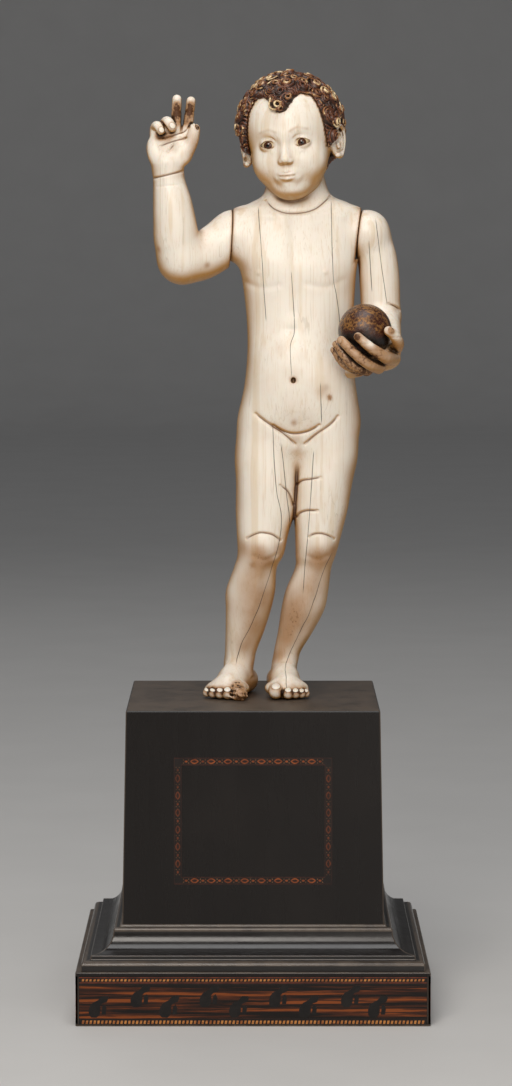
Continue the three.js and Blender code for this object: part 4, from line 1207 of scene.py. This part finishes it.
def hair_finish(name, look):
    """Brown paint over ivory curls, rubbed through to gilding and cream on the ridges, with painted shade in
    the hollows.
    """
    s = Shader(name)
    place = s.add(PLACE)
    ridge, hollow = (s.add(STORED, attribute_name=each) for each in ("ridge", "hollow"))
    clouds = s.add(NOISE, place, waves(9.09), 3)
    fine = s.add(NOISE, place, waves(1.111), 4, 0.65)
    wear = s.add(SUM, ridge, s.add(SCALED, clouds, 1.2, -0.5))
    wear = s.add(SUM, wear, s.add(SCALED, fine, 0.7, -0.35))
    thin, gold = s.add(RAMP, wear, 0.1, 0.55), s.add(RAMP, wear, 0.45, 0.8, 0.0, 0.8)
    # the hair's hollows are painted near black, as painted shade
    bare, hair_hollow_shade = s.add(RAMP, wear, 0.74, 1.05, 0.0, 0.9), s.add(RAMP, hollow, 0.15, 0.7, 0.0, 0.85)
    colour = look.hair_paint
    for factor, tint in ((thin, "#6a3a20"), (gold, "#9c7040"), (bare, "#ead4a8"), (hair_hollow_shade, "#140a06")):
        colour = s.add(LAYER, factor, colour, tint)
    return s.surfaced({"Base Color": colour, "Roughness": s.add(RAMP, wear, 0.1, 1.0, 0.42, 0.28),
                       "Normal": s.add(BUMP, fine, 0.4, 0.3 * MM), "IOR": 1.5})


def eye_finish(name):
    """A painted and varnished eye, wet-looking: dark iris, darker pupil and a yellowed white."""
    s = Shader(name)
    from_gaze = s.add(STORED, attribute_name="from_gaze")
    fine = s.add(NOISE, s.add(PLACE), waves(0.6667), 3)
    white = s.add(LAYER, fine, "#d9c6a0", "#c3a980")
    brown = s.add(LAYER, fine, "#5c331a", "#2e170b")
    colour = s.add(LAYER, s.add(RAMP, from_gaze, IRIS_RADIUS, IRIS_RADIUS + 0.25), brown, white)
    colour = s.add(LAYER, s.add(RAMP, from_gaze, PUPIL_RADIUS, PUPIL_RADIUS + 0.2), "#0a0504", colour)
    return s.surfaced({"Base Color": colour, "Roughness": 0.14, "IOR": 1.5})


def globe_finish(name):
    """A dark painted ball, darker towards the bottom as painted shade: near black below, red-brown above,
    with rubbed gilding on the upper half that also stands for painted highlight.
    """
    s = Shader(name)
    place = s.add(PLACE)
    clouds = s.add(NOISE, place, waves(10.53), 4, 0.6)
    fine = s.add(NOISE, place, waves(1.923), 5, 0.7)
    # Painted shade and highlight: the ball darkens below its middle, and its gilding keeps to the upper half
    middle, soft = GROUND + GLOBE_CENTRE[2] * MM, 7 * MM
    upper = s.add(RAMP, s.add(HEIGHT, place), middle - soft, middle + soft)
    upper = s.add(SUM, upper, s.add(SCALED, clouds, 2.6, -1.15))
    gilt_and_highlight = s.add(RAMP, s.add(SUM, upper, s.add(SCALED, fine, 4, -2)), 0.9, 1.7, 0.0, 0.85)
    colour = s.add(LAYER, s.add(RAMP, upper, 0.1, 0.8), "#100907", "#3c1d11")
    colour = s.add(LAYER, gilt_and_highlight, colour, "#a87840")
    return s.surfaced({"Base Color": colour, "Roughness": s.add(RAMP, fine, 0.3, 0.7, 0.2, 0.42), "IOR": 1.5,
                       "Normal": s.add(BUMP, fine, 0.5, 0.6 * MM), "Metallic": s.add(PRODUCT, gilt_and_highlight, 0.45)})


THIN_POLISH_IOR = 1.34  # worn old polish reflects less than fresh varnish


def ebonised_finish(name, look, ior, gloss):
    """Black polished veneer: faint grain, dust, wiping marks and rubbed edges. A low gloss shines more."""
    s = Shader(name)
    place = s.add(PLACE)
    grain = s.add(NOISE, s.add(STRETCH, place, (0.06, 0.06, 1)), waves(1.111), 4, 0.6)
    clouds = s.add(NOISE, place, waves(71.4), 4)
    wipes = s.add(NOISE, s.add(STRETCH, place, (1, 1, 0.12)), waves(16.7), 5, 0.7)
    edge = s.add(STORED, attribute_name="edge")
    rubbed = s.add(PRODUCT, edge, s.add(RAMP, wipes, 0.3, 0.6, 0.45, 1.0))
    dust = s.add(RAMP, clouds, 0.45, 0.75, 0.0, 0.04)
    colour = s.add(LAYER, grain, look.veneer, "#120c09")
    for factor, tint in ((rubbed, "#54493f"), (dust, "#4a403a")):
        colour = s.add(LAYER, factor, colour, tint)
    # Level faces have a dull bloom
    bloom = s.add(RAMP, s.add(HEIGHT, s.add(NORMAL)), 0.9, 1.0, 0.0, 0.22)
    shine = s.add(SUM, s.add(RAMP, wipes, 0.3, 0.75, gloss, gloss + 0.08), bloom)
    return s.surfaced({"Base Color": colour, "Roughness": shine, "Normal": s.add(BUMP, grain, 0.12, 0.1 * MM),
                       "IOR": ior})


def streaked_finish(name):
    """Straight-grained veneer with orange and near-black streaks along the face, under old polish."""
    s = Shader(name)
    lying = s.add(STRETCH, s.add(PLACE), (0.025, 0.025, 1))
    wide = s.add(NOISE, lying, waves(3.33), 2, 0.5)
    # The pores are finer than this, and are drawn coarser, so that they show
    grain = s.add(NOISE, lying, waves(0.4545), 3, 0.6)
    mixed = s.add(SUM, wide, s.add(PRODUCT, grain, 0.35))
    colour = "#0d0603"
    for low, high, tint in ((0.62, 0.71, "#3c1a08"), (0.71, 0.8, "#7a3c12")):
        colour = s.add(LAYER, s.add(RAMP, mixed, low, high), colour, tint)
    return s.surfaced({"Base Color": colour, "Roughness": s.add(RAMP, wide, 0.3, 0.7, 0.28, 0.4),
                       "Normal": s.add(BUMP, grain, 0.1, 0.1 * MM), "IOR": THIN_POLISH_IOR})


def inlay_finish(name, dark, light):
    """A small piece of inlaid wood, with fine grain between two tones, under old polish."""
    s = Shader(name)
    place = s.add(PLACE)
    grain = s.add(NOISE, s.add(STRETCH, place, (0.1, 0.1, 1)), waves(0.3846), 3, 0.6)
    blotch = s.add(NOISE, place, waves(5.56), 2)
    colour = s.add(LAYER, s.add(RAMP, s.add(SUM, grain, blotch), 0.75, 1.25), dark, light)
    shine = s.add(RAMP, blotch, 0.3, 0.7, 0.28, 0.42)
    return s.surfaced({"Base Color": colour, "Roughness": shine, "IOR": 1.36})


# The pedestal's measures, in millimetres from its underside

BLOCK_HALF, BLOCK_TOP = 120.5, 36.8
DIE_FOOT, DIE_TOP = 64.5, 211
DIE_FOOT_HALF, DIE_TOP_HALF = 89.65, 86.9
MOULDING_HALF = 116.9
EDGE = 0.7  # the size of the taken-off edges
RIM = 0.5
FRAME = {"half": 54, "low": 92, "high": 179, "strip": 5}
SHEET = {"half": 117.9, "low": 1.3, "high": 34.2}
QUARTER_TURNS = ("front", "right", "back", "left")


def quarter_round(start, end, steps, hollow=False):
    """Points of a quarter-round, or of a hollow one, between two points given as half width and height."""
    points = []
    for k in range(steps + 1):
        turn = k / steps * math.pi / 2
        near, far = math.sin(turn), 1 - math.cos(turn)
        inward, rise = (near, far) if hollow else (far, near)
        points.append((start[0] + (end[0] - start[0]) * inward, start[1] + (end[1] - start[1]) * rise))
    return points


def eased(profile, size):
    """A profile with each hard corner taken off by a small size."""
    made = [profile[0]]
    for before, corner, after in zip(profile, profile[1:], profile[2:]):
        back, on = Vector(before) - Vector(corner), Vector(after) - Vector(corner)
        turned = back.length > 2.5 * size and on.length > 2.5 * size and back.angle(-on) > 0.5
        if turned:
            made += [tuple(Vector(corner) + back.normalized() * size),
                     tuple(Vector(corner) + on.normalized() * size)]
        else:
            made.append(corner)
    return made + [profile[-1]]


def square_turned(profile):
    """A square form from a profile of half widths and heights, with its four upright corners taken off."""
    points, faces = [], []
    for half, z in profile:
        cut_back = half - EDGE
        ring = [(-cut_back, -half), (cut_back, -half), (half, -cut_back), (half, cut_back), (cut_back, half),
                (-cut_back, half), (-half, cut_back), (-half, -cut_back)]
        points += [(x * MM, y * MM, z * MM) for x, y in ring]
    for k in range(len(profile) - 1):
        faces += [[8 * k + i, 8 * k + (i + 1) % 8, 8 * k + 8 + (i + 1) % 8, 8 * k + 8 + i] for i in range(8)]
    faces += [list(range(8)), list(range(len(points) - 8, len(points)))]
    return points, faces


def mark_edges(obj):
    """Stores 1 on narrow faces, which are the taken-off edges, for the rubbed polish there."""
    mesh = obj.data
    layer = mesh.attributes.new("edge", "FLOAT", "FACE")
    for face in mesh.polygons:
        sides = sorted((mesh.vertices[a].co - mesh.vertices[b].co).length for a, b in face.edge_keys)
        layer.data[face.index].value = float(sides[1] < 1.6 * EDGE * MM)


def moulding_profile():
    """The base moulding from the block up: a band, a quarter-round, a fillet, a wide hollow and two beads."""
    def row(inward, rise):
        return MOULDING_HALF - inward, BLOCK_TOP + rise

    return [
        row(0, 0), row(0, 3.8),
        *quarter_round(row(0, 3.8), row(3.6, 6.6), 8)[1:],
        row(6.4, 7), row(6.4, 9.7), row(8.1, 10),
        *quarter_round(row(8.1, 10), row(21.5, 23.6), 16, hollow=True)[1:],
        row(21.5, 24.2),
        *quarter_round(row(21.5, 24.2), row(23.4, 26), 6)[1:],
        row(25.4, 26),
        *quarter_round(row(25.4, 26), row(26.9, 27.7), 6)[1:],
    ]


def block_profile():
    """The foot block behind its sheets of marquetry: a rim at the foot, the recess, and a rim at the top."""
    inner, gap = BLOCK_HALF - 1.5, 0.15
    return [
        (BLOCK_HALF - 0.4, 0), (BLOCK_HALF, 0.4), (BLOCK_HALF, SHEET["low"] - gap),
        (inner, SHEET["low"] - gap),
        (inner, SHEET["high"] + gap), (BLOCK_HALF, SHEET["high"] + gap), (BLOCK_HALF, BLOCK_TOP - RIM),
        (BLOCK_HALF - RIM, BLOCK_TOP),
    ]


def die_half(z):
    """The die's half width at a height: it leans in a little."""
    return DIE_FOOT_HALF + (DIE_TOP_HALF - DIE_FOOT_HALF) * (z - DIE_FOOT) / (DIE_TOP - DIE_FOOT)


PLATE_DEPTH = 0.25  # how far an inlaid plate goes down behind its face


def plates(outlines, place, thickness):
    """Thin closed plates on a face. Outlines are rows of across and up, and place turns them into space."""
    points, faces = [], []
    for outline in outlines:
        start, count = len(points), len(outline)
        for out in (-PLATE_DEPTH, thickness):
            points += [place(across, up, out) for across, up in outline]
        faces.append(list(range(start, start + count)))
        faces.append(list(range(start + count, start + 2 * count)))
        faces += [[start + i, start + (i + 1) % count, start + count + (i + 1) % count, start + count + i]
                  for i in range(count)]
    return points, faces


def oval(cx, cy, rx, ry, count=16):
    """An oval outline."""
    return [(cx + rx * math.cos(2 * math.pi * k / count), cy + ry * math.sin(2 * math.pi * k / count))
            for k in range(count)]


def lens(cx, cy, rx, ry, count=8):
    """A pointed oval outline, like an eye."""
    top = [(cx + rx * t, cy + ry * (1 - t ** 2)) for t in (2 * k / count - 1 for k in range(count + 1))]
    return top + [(x, 2 * cy - y) for x, y in reversed(top[1:-1])]


def mitred(end0, y0, end1, y1):
    """A strip's outline between two heights, with its ends running in."""
    return [(-end0, y0), (end0, y0), (end1, y1), (-end1, y1)]


def quad(half, y0, y1):
    """A rectangle's outline."""
    return mitred(half, y0, half, y1)


def joined(groups):
    """Several sets of points and faces as one, with the finish number of each face."""
    points, faces, finishes = [], [], []
    for finish, (some_points, some_faces) in enumerate(groups):
        faces += [[len(points) + i for i in face] for face in some_faces]
        finishes += [finish] * len(some_faces)
        points += some_points
    return points, faces, finishes


def inlaid(name, groups, place, woods, nodes):
    """A piece of thin plates: each group of outlines stands proud by its own amount, in its own wood."""
    points, faces, finishes = joined(plates(outlines, place, rise) for rise, outlines in groups)
    return dress(mesh_object(name, points, faces, finishes=finishes), woods, nodes)


def inlay_outlines(sides):
    """The border's parts along its sides: ground, edge lines, ovals, their eyes and small dots."""
    half, low, high, strip = FRAME.values()
    mid, line = strip / 2, 0.35
    runs = {
        "bottom": (lambda u, v: (u, low + v), 2 * half), "top": (lambda u, v: (u, high - v), 2 * half),
        "left": (lambda u, v: (-half + v, (low + high) / 2 + u), high - low),
        "right": (lambda u, v: (half - v, (low + high) / 2 + u), high - low),
    }
    ground, lines, ovals, eyes, dots = [], [], [], [], []
    for side in sides:
        turn, length = runs[side]
        end, inner = length / 2, length / 2 - strip

        def turned(outline):
            return [turn(*p) for p in outline]

        ground.append(turned(mitred(end, 0, inner, strip)))
        lines += [turned(mitred(end, 0, end - line, line)),
                  turned(mitred(inner + line, strip - line, inner, strip))]
        count = round((length - strip) / 11.2)
        pitch = (length - strip) / count
        for k in range(count + 1):
            at = -(length - strip) / 2 + k * pitch
            if abs(at) < end - 4:
                ovals.append(turned(lens(at, mid, 3, 1.75)))
                eyes.append(turned(lens(at, mid, 1.9, 0.85)))
            if k < count:
                between = at + pitch / 2
                ovals.append(turned(oval(between, mid, 1.05, 0.75, 10)))
                dots += [turned(oval(between + dx * 1.75, mid + dy * 1.05, 0.34, 0.3, 6))
                         for dx in SIDES for dy in SIDES]
    return ground, lines, ovals, eyes, dots


def motif(cx, cy):
    """A dark inlaid motif: a leaf that leans up to the right, and a small block under its tip."""
    leaf = [(-6.6, -5.6), (-5, -7.3), (-1.4, -7.4), (0.6, -5.6), (1.3, -2.2), (1, 0.8), (2.6, 2.4),
            (5.6, 3.4), (6.8, 6.2), (6.2, 7.4), (2, 7.5), (-0.4, 4.6), (-4, 2.8), (-6, 0.4), (-6.8, -2.4)]
    small = [(2, -5.2), (4.8, -5.2), (5.4, -0.8), (4.2, 1.6), (2.5, 0.4)]
    return [[(cx + x, cy + y) for x, y in part] for part in (leaf, small)]


def marquetry_outlines():
    """One face of the block: the sheet, the stringing lines, the dark motifs and the bright dots."""
    half, low, high = SHEET.values()
    sheet = [quad(half, low, high)]
    dark = [quad(half, low, 5.4), quad(half, 28.3, high)]
    rope = [quad(half, 29.6, 30.3), quad(half, 33.2, 33.8)]
    dots = []
    for up, tall in ((31.7, 0.75), (2.9, 1.15)):
        for x in 2.62 * np.arange(-44, 45):
            dots.append([(x - 0.95, up - tall), (x + 0.55, up - tall),
                         (x + 0.95, up + tall), (x - 0.55, up + tall)])
    motifs = [part for x in (-76.3, -29.5, 17.6, 66.4) for part in motif(x, 20.6)]
    motifs += [part for x in (-104.7, -56.7, -9.5, 37.9, 84.7) for part in motif(x, 13.4)]
    return sheet, dark, rope, dots, motifs


# The operators: each builds one piece or group


SPACING = {"min": 0.3 * MM, "max": 3 * MM, "subtype": "DISTANCE", "unit": "LENGTH"}
TINT = {"size": 4, "subtype": "COLOR", "min": 0, "max": 1}


class Settings(bpy.types.PropertyGroup):
    """The sizes and colours that the pieces are made with."""

    body_grain: FloatProperty(name="Body grain", description="Spacing of the figure's sculpting grid",
                              default=0.56 * MM, **SPACING)
    arm_grain: FloatProperty(name="Arm grain", description="Spacing of the arms' sculpting grid",
                             default=0.45 * MM, **SPACING)
    hair_grain: FloatProperty(name="Hair grain", description="Spacing of the hair's sculpting grid",
                              default=0.4 * MM, **SPACING)
    face_limit: IntProperty(name="Face limit", description="Most triangles in one carved piece",
                            default=190000, min=10000, max=199000)
    crack_width: FloatProperty(name="Crack width", default=0.06, min=0, max=1,
                               description="Least half width of the ivory's cracks, in millimetres")
    # The pale and the amber ivory are mixed by which way a face turns: painted light and shade
    ivory_pale: FloatVectorProperty(name="Lit ivory", description="Colour of the ivory's front",
                                    default=(*linear("#ece4d7"), 1), **TINT)
    ivory_deep: FloatVectorProperty(name="Amber ivory", description="Colour of the ivory's back",
                                    default=(*linear("#bd8c4c"), 1), **TINT)
    hair_paint: FloatVectorProperty(name="Hair paint", description="Colour of the unworn hair",
                                    default=(*linear("#2e190e"), 1), **TINT)
    veneer: FloatVectorProperty(name="Black veneer", description="Colour of the pedestal",
                                default=(*linear("#0d0a09"), 1), **TINT)


def carve(name, piece, stains, lines, nodes, share=1.0):
    """A carved ivory piece with its hollows, stains, painted shade and cracks stored on it."""
    sizes = bpy.context.scene.statuette
    obj = skin_object(name, *clay(piece).skin(), int(sizes.face_limit * share))
    points, normals = vertex_rows(obj.data)
    crack, crack_opening = drawn_at(points, normals, lines, 2)
    fold, fold_dirt = drawn_at(points, normals, FOLDS + ELBOW_FOLDS + PALM_FOLDS, 0)
    neighbours = [clay(piece), clay("hair" if piece == "body" else "body")]
    paint(obj.data, hollow=hollows(points, normals, neighbours), stain=stains_at(points, stains),
          crack=crack, crack_opening=crack_opening, fold=fold, fold_dirt=fold_dirt)
    return dress(obj, ivory(), nodes)


def ivory():
    """The one ivory finish that all the carved pieces share."""
    return bpy.data.materials.get("old ivory") or ivory_finish("old ivory", bpy.context.scene.statuette)


class CarveFigure(bpy.types.Operator):
    """Carves the head, trunk, legs and feet."""

    bl_idname = "statuette.carve_figure"
    bl_label = "Carve the figure"

    def execute(self, context):
        carve("figure", "body", BODY_STAINS_AND_SHADE + nail_spots(TOE_NAILS) + face_spots(), BODY_CRACKS, ["body"])
        return {"FINISHED"}


class CarveArms(bpy.types.Operator):
    """Carves the raised arm and the lowered one."""

    bl_idname = "statuette.carve_arms"
    bl_label = "Carve the arms"

    def execute(self, context):
        raised, lowered = RAISED_STAINS_AND_SHADE + nail_spots(RAISED_NAILS), LOWERED_STAINS + nail_spots(LOWERED_NAILS)
        carve("raised_arm", "raised", raised, [], ["raised_right_arm"], 0.6)
        carve("lowered_arm", "lowered", lowered, ARM_CRACKS, ["lowered_left_arm"], 0.7)
        return {"FINISHED"}


class LayNails(bpy.types.Operator):
    """Lays the thin plates of the finger and toe nails."""

    bl_idname = "statuette.lay_nails"
    bl_label = "Lay the nails"

    def execute(self, context):
        points, quads, stains = [], [], []
        for knots, outwards, stain in TOE_NAILS + RAISED_NAILS + LOWERED_NAILS:
            plate, _ = nail_plate(knots, outwards)
            some_points, some_quads = Clay([add(plate, 0)], NAIL_GRAIN).skin()
            quads.append(some_quads + sum(len(each) for each in points))
            points.append(some_points)
            stains.append(np.full(len(some_points), stain, float))
        obj = skin_object("nails", np.concatenate(points), np.concatenate(quads),
                          context.scene.statuette.face_limit)
        paint(obj.data, stain=np.concatenate(stains), hollow=0,
              crack=NO_LINE, crack_opening=0, fold=NO_LINE, fold_dirt=0)
        dress(obj, ivory())
        return {"FINISHED"}


class CurlHair(bpy.types.Operator):
    """Lays the curled hair over the skull."""

    bl_idname = "statuette.curl_hair"
    bl_label = "Curl the hair"

    def execute(self, context):
        look = context.scene.statuette
        piece = clay("hair")
        obj = skin_object("hair", *piece.skin(), look.face_limit)
        points, normals = vertex_rows(obj.data)
        back = np.array(HEAD_PLACE.inverted())
        local = points @ back[:3, :3].T + back[:3, 3]
        height = shaped(skull_steps()).distance(*local.T)
        crest = 1 + piece.at(points - normals * 0.9) / 0.9
        paint(obj.data, ridge=np.clip(0.8 * crest, 0, 0.7) + 0.3 * smoothstep(height, 1.5, 6),
              hollow=hollows(points, normals, [piece]))
        dress(obj, hair_finish("rubbed brown hair paint", look))
        return {"FINISHED"}


class SetEyes(bpy.types.Operator):
    """Sets the two painted eyes behind their lids."""

    bl_idname = "statuette.set_eyes"
    bl_label = "Set the eyes"

    def execute(self, context):
        work = bmesh.new()
        for side in SIDES:
            made = bmesh.ops.create_uvsphere(work, u_segments=48, v_segments=32, radius=EYE_RADIUS)
            bmesh.ops.translate(work, verts=made["verts"], vec=mirrored(EYE_CENTRE, side))
        from_gaze = []
        for vertex in work.verts:
            side = math.copysign(1, vertex.co.x)
            centre = Vector(mirrored(EYE_CENTRE, side))
            gaze = Vector((side * 0.12 + 0.03, -1, -0.04)).normalized()
            offset = vertex.co - centre
            offset *= 1 + CORNEA_RISE * max(0, 1 - (offset.angle(gaze) / CORNEA_SPREAD) ** 2) / EYE_RADIUS
            ahead = offset.dot(gaze)
            from_gaze.append((offset - ahead * gaze).length if ahead > 0 else 2 * EYE_RADIUS)
            vertex.co = (HEAD_PLACE @ (centre + offset) + Vector((0, 0, GROUND / MM))) * MM
        mesh = bpy.data.meshes.new("eyes")
        work.to_mesh(mesh)
        work.free()
        paint(mesh, from_gaze=from_gaze)
        mesh.shade_smooth()
        dress(linked("eyes", mesh), eye_finish("varnished painted eye"))
        return {"FINISHED"}


class PaintGlobe(bpy.types.Operator):
    """Turns the globe, with slight unevenness and a few dents."""

    bl_idname = "statuette.paint_globe"
    bl_label = "Paint the globe"

    def execute(self, context):
        look = context.scene.statuette
        dents = np.random.default_rng(21).normal(size=(26, 3))
        steps = [add(ball(GLOBE_CENTRE, GLOBE_RADIUS - 0.1), 0), rough(GLOBE_CENTRE, [30] * 3, 0.07, 4, 6)]
        for way in dents:
            way = way / np.linalg.norm(way)
            steps.append(mound(np.array(GLOBE_CENTRE) + way * GLOBE_RADIUS, [1.2 + abs(way[0])] * 3, -0.16))
        obj = skin_object("globe_ball", *Clay(steps, GLOBE_GRAIN * COARSER).skin(), look.face_limit // 4)
        dress(obj, globe_finish("dark painted globe with rubbed gilding"), ["globe"])
        return {"FINISHED"}


class BuildPedestal(bpy.types.Operator):
    """Builds the block, the moulding and the die."""

    bl_idname = "statuette.build_pedestal"
    bl_label = "Build the pedestal"

    def execute(self, context):
        look = context.scene.statuette
        # Thick polish on the mouldings shines more than the thin polish on the flat veneer
        black = ebonised_finish("black polished veneer", look, THIN_POLISH_IOR, 0.24)
        glossy = ebonised_finish("black polished moulding", look, 1.48, 0.18)
        die = [(DIE_FOOT_HALF, DIE_FOOT), (die_half(DIE_TOP - EDGE), DIE_TOP - EDGE),
               (DIE_TOP_HALF - EDGE, DIE_TOP)]
        parts = [("die", die, "pedestal_die"), ("moulding", eased(moulding_profile(), 0.35), "base_moulding"),
                 ("block", block_profile(), "base_block")]
        for name, profile, node in parts:
            obj = mesh_object(name, *square_turned(profile), smooth_angle=24)
            mark_edges(obj)
            dress(obj, glossy if name == "moulding" else black, [node])
        return {"FINISHED"}


class InlayBorder(bpy.types.Operator):
    """Lets the framed border into the die's front."""

    bl_idname = "statuette.inlay_border"
    bl_label = "Inlay the border"

    def execute(self, context):
        def place(across, up, out):
            return across * MM, -(die_half(up) + out) * MM, up * MM

        # The upright strips' grain runs across the light, so that they look darker
        tones = {
            "level": [("#0e0807", "#160b08"), ("#30140a", "#4a200e"), ("#5e2a10", "#8c4618"),
                      ("#180907", "#2a0f09"), ("#744a2a", "#a07246")],
            "upright": [("#0c0706", "#130a07"), ("#24100a", "#36180b"), ("#44200e", "#642f12"),
                        ("#140806", "#200d08"), ("#54361f", "#745231")],
        }
        parts = ("ground", "line", "oval", "eye", "dot")
        for run, sides in (("level", ("bottom", "top")), ("upright", ("left", "right"))):
            woods = [inlay_finish(f"{run} border {part}", *pair) for part, pair in zip(parts, tones[run])]
            groups = zip((0.04, 0.07, 0.1, 0.13, 0.1), inlay_outlines(sides))
            inlaid(f"border_{run}", groups, place, woods, [f"border_{side}" for side in sides])
        return {"FINISHED"}


class InlayMarquetry(bpy.types.Operator):
    """Veneers the block's four faces and lets in their stringing and motifs."""

    bl_idname = "statuette.inlay_marquetry"
    bl_label = "Inlay the marquetry"

    def execute(self, context):
        woods = [streaked_finish("streaked veneer")] + [inlay_finish(*each) for each in (
            ("dark stringing", "#0d0806", "#1a0f0a"), ("red line", "#4a2014", "#6e321c"),
            ("bright dots", "#7c4420", "#b87a3c"), ("dark motif", "#080605", "#130e0b"))]
        for turns, side in enumerate(QUARTER_TURNS):
            spin = Matrix.Rotation(turns * math.pi / 2, 3, "Z")

            def place(across, up, out):
                return spin @ (Vector((across, -BLOCK_HALF - out, up)) * MM)

            groups = zip((0.0, 0.04, 0.07, 0.08, 0.06), marquetry_outlines())
            inlaid(f"{side}_marquetry", groups, place, woods, [f"marquetry_{side}"])
        return {"FINISHED"}


BACKDROP = {"floor_end": 7, "bend": 1.6, "reach": 9, "height": 5, "steps": 24}
CAMERA = {"place": (0.002, -2.681, 0.547), "tilt": 90 - 4.865, "lens": 126.96}
LAMPS = [
    ("key", (-0.45, -2.3, 1.65), 1.2, 41, "#fff8f0"),
    ("front fill", (0.9, -2.7, 0.7), 1.4, 15, "#fff8f0"),
    ("back fill", (-0.6, 2.2, 2), 1.4, 4, "#ffffff"),
    ("top", (0, -0.45, 2.3), 1.2, 18, "#ffffff"),
]
LAMPS_AIM = Vector((0, 0, 0.4))


class SetStage(bpy.types.Operator):
    """Sets the pale floor, the soft studio light and the camera."""

    bl_idname = "statuette.set_stage"
    bl_label = "Set the stage"

    def execute(self, context):
        end, bend, reach, height, steps = BACKDROP.values()
        turns = [k / steps * math.pi / 2 for k in range(steps + 1)]
        rows = [(-reach, 0), *((end + bend * math.sin(turn), bend * (1 - math.cos(turn))) for turn in turns)]
        rows.append((rows[-1][0], height))
        points = [(side * reach, y, z) for y, z in rows for side in SIDES]
        faces = [[2 * k, 2 * k + 1, 2 * k + 3, 2 * k + 2] for k in range(len(rows) - 1)]
        floor = mesh_object("floor", points, faces, smooth_angle=60)
        s = Shader("pale studio floor")
        clouds = s.add(NOISE, s.add(PLACE), waves(111), 4)
        floor.data.materials.append(s.surfaced({"Base Color": s.add(LAYER, clouds, "#c9c8c6", "#d2d1cf"),
                                                "Roughness": 0.6}))
        scene = context.scene
        scene.world = bpy.data.worlds.new("studio")
        scene.world.use_nodes = True
        colour, strength = scene.world.node_tree.nodes["Background"].inputs[:2]
        colour.default_value, strength.default_value = (*linear("#c4c6ca"), 1), 0.25
        scene.view_settings.view_transform = "Standard"
        for name, place, size, power, tint in LAMPS:
            light = bpy.data.lights.new(name, "AREA")
            light.size, light.energy, light.color = size, power, linear(tint)
            lamp = linked(name, light)
            lamp.location = place
            lamp.rotation_euler = (LAMPS_AIM - Vector(place)).to_track_quat("-Z", "Y").to_euler()
        camera = linked("camera", bpy.data.cameras.new("camera"))
        camera.data.lens = CAMERA["lens"]
        camera.location = CAMERA["place"]
        camera.rotation_euler = (math.radians(CAMERA["tilt"]), 0, 0)
        bpy.context.scene.camera = camera
        return {"FINISHED"}


class StatuettePanel(bpy.types.Panel):
    """Lists the operators in the order in which they are run."""

    bl_idname = "VIEW3D_PT_statuette"
    bl_label = "Statuette"
    bl_space_type = "VIEW_3D"
    bl_region_type = "UI"
    bl_category = "Statuette"

    def draw(self, context):
        for operator in OPERATORS:
            self.layout.operator(operator.bl_idname)
        for name in Settings.__annotations__:
            self.layout.prop(context.scene.statuette, name)


OPERATORS = (CarveFigure, CarveArms, LayNails, CurlHair, SetEyes, PaintGlobe, BuildPedestal, InlayBorder,
             InlayMarquetry, SetStage)


def register():
    """Adds the classes and the settings."""
    for each in (Settings, *OPERATORS, StatuettePanel):
        bpy.utils.register_class(each)
    bpy.types.Scene.statuette = PointerProperty(type=Settings)


def unregister():
    """Takes the classes and the settings away."""
    del bpy.types.Scene.statuette
    for each in reversed((Settings, *OPERATORS, StatuettePanel)):
        bpy.utils.unregister_class(each)


def main():
    """Builds everything."""
    register()
    bpy.ops.statuette.carve_figure()
    bpy.ops.statuette.carve_arms()
    bpy.ops.statuette.lay_nails()
    bpy.ops.statuette.curl_hair()
    bpy.ops.statuette.set_eyes()
    bpy.ops.statuette.paint_globe()
    bpy.ops.statuette.build_pedestal()
    bpy.ops.statuette.inlay_border()
    bpy.ops.statuette.inlay_marquetry()
    bpy.ops.statuette.set_stage()


if __name__ == "__main__":
    main()
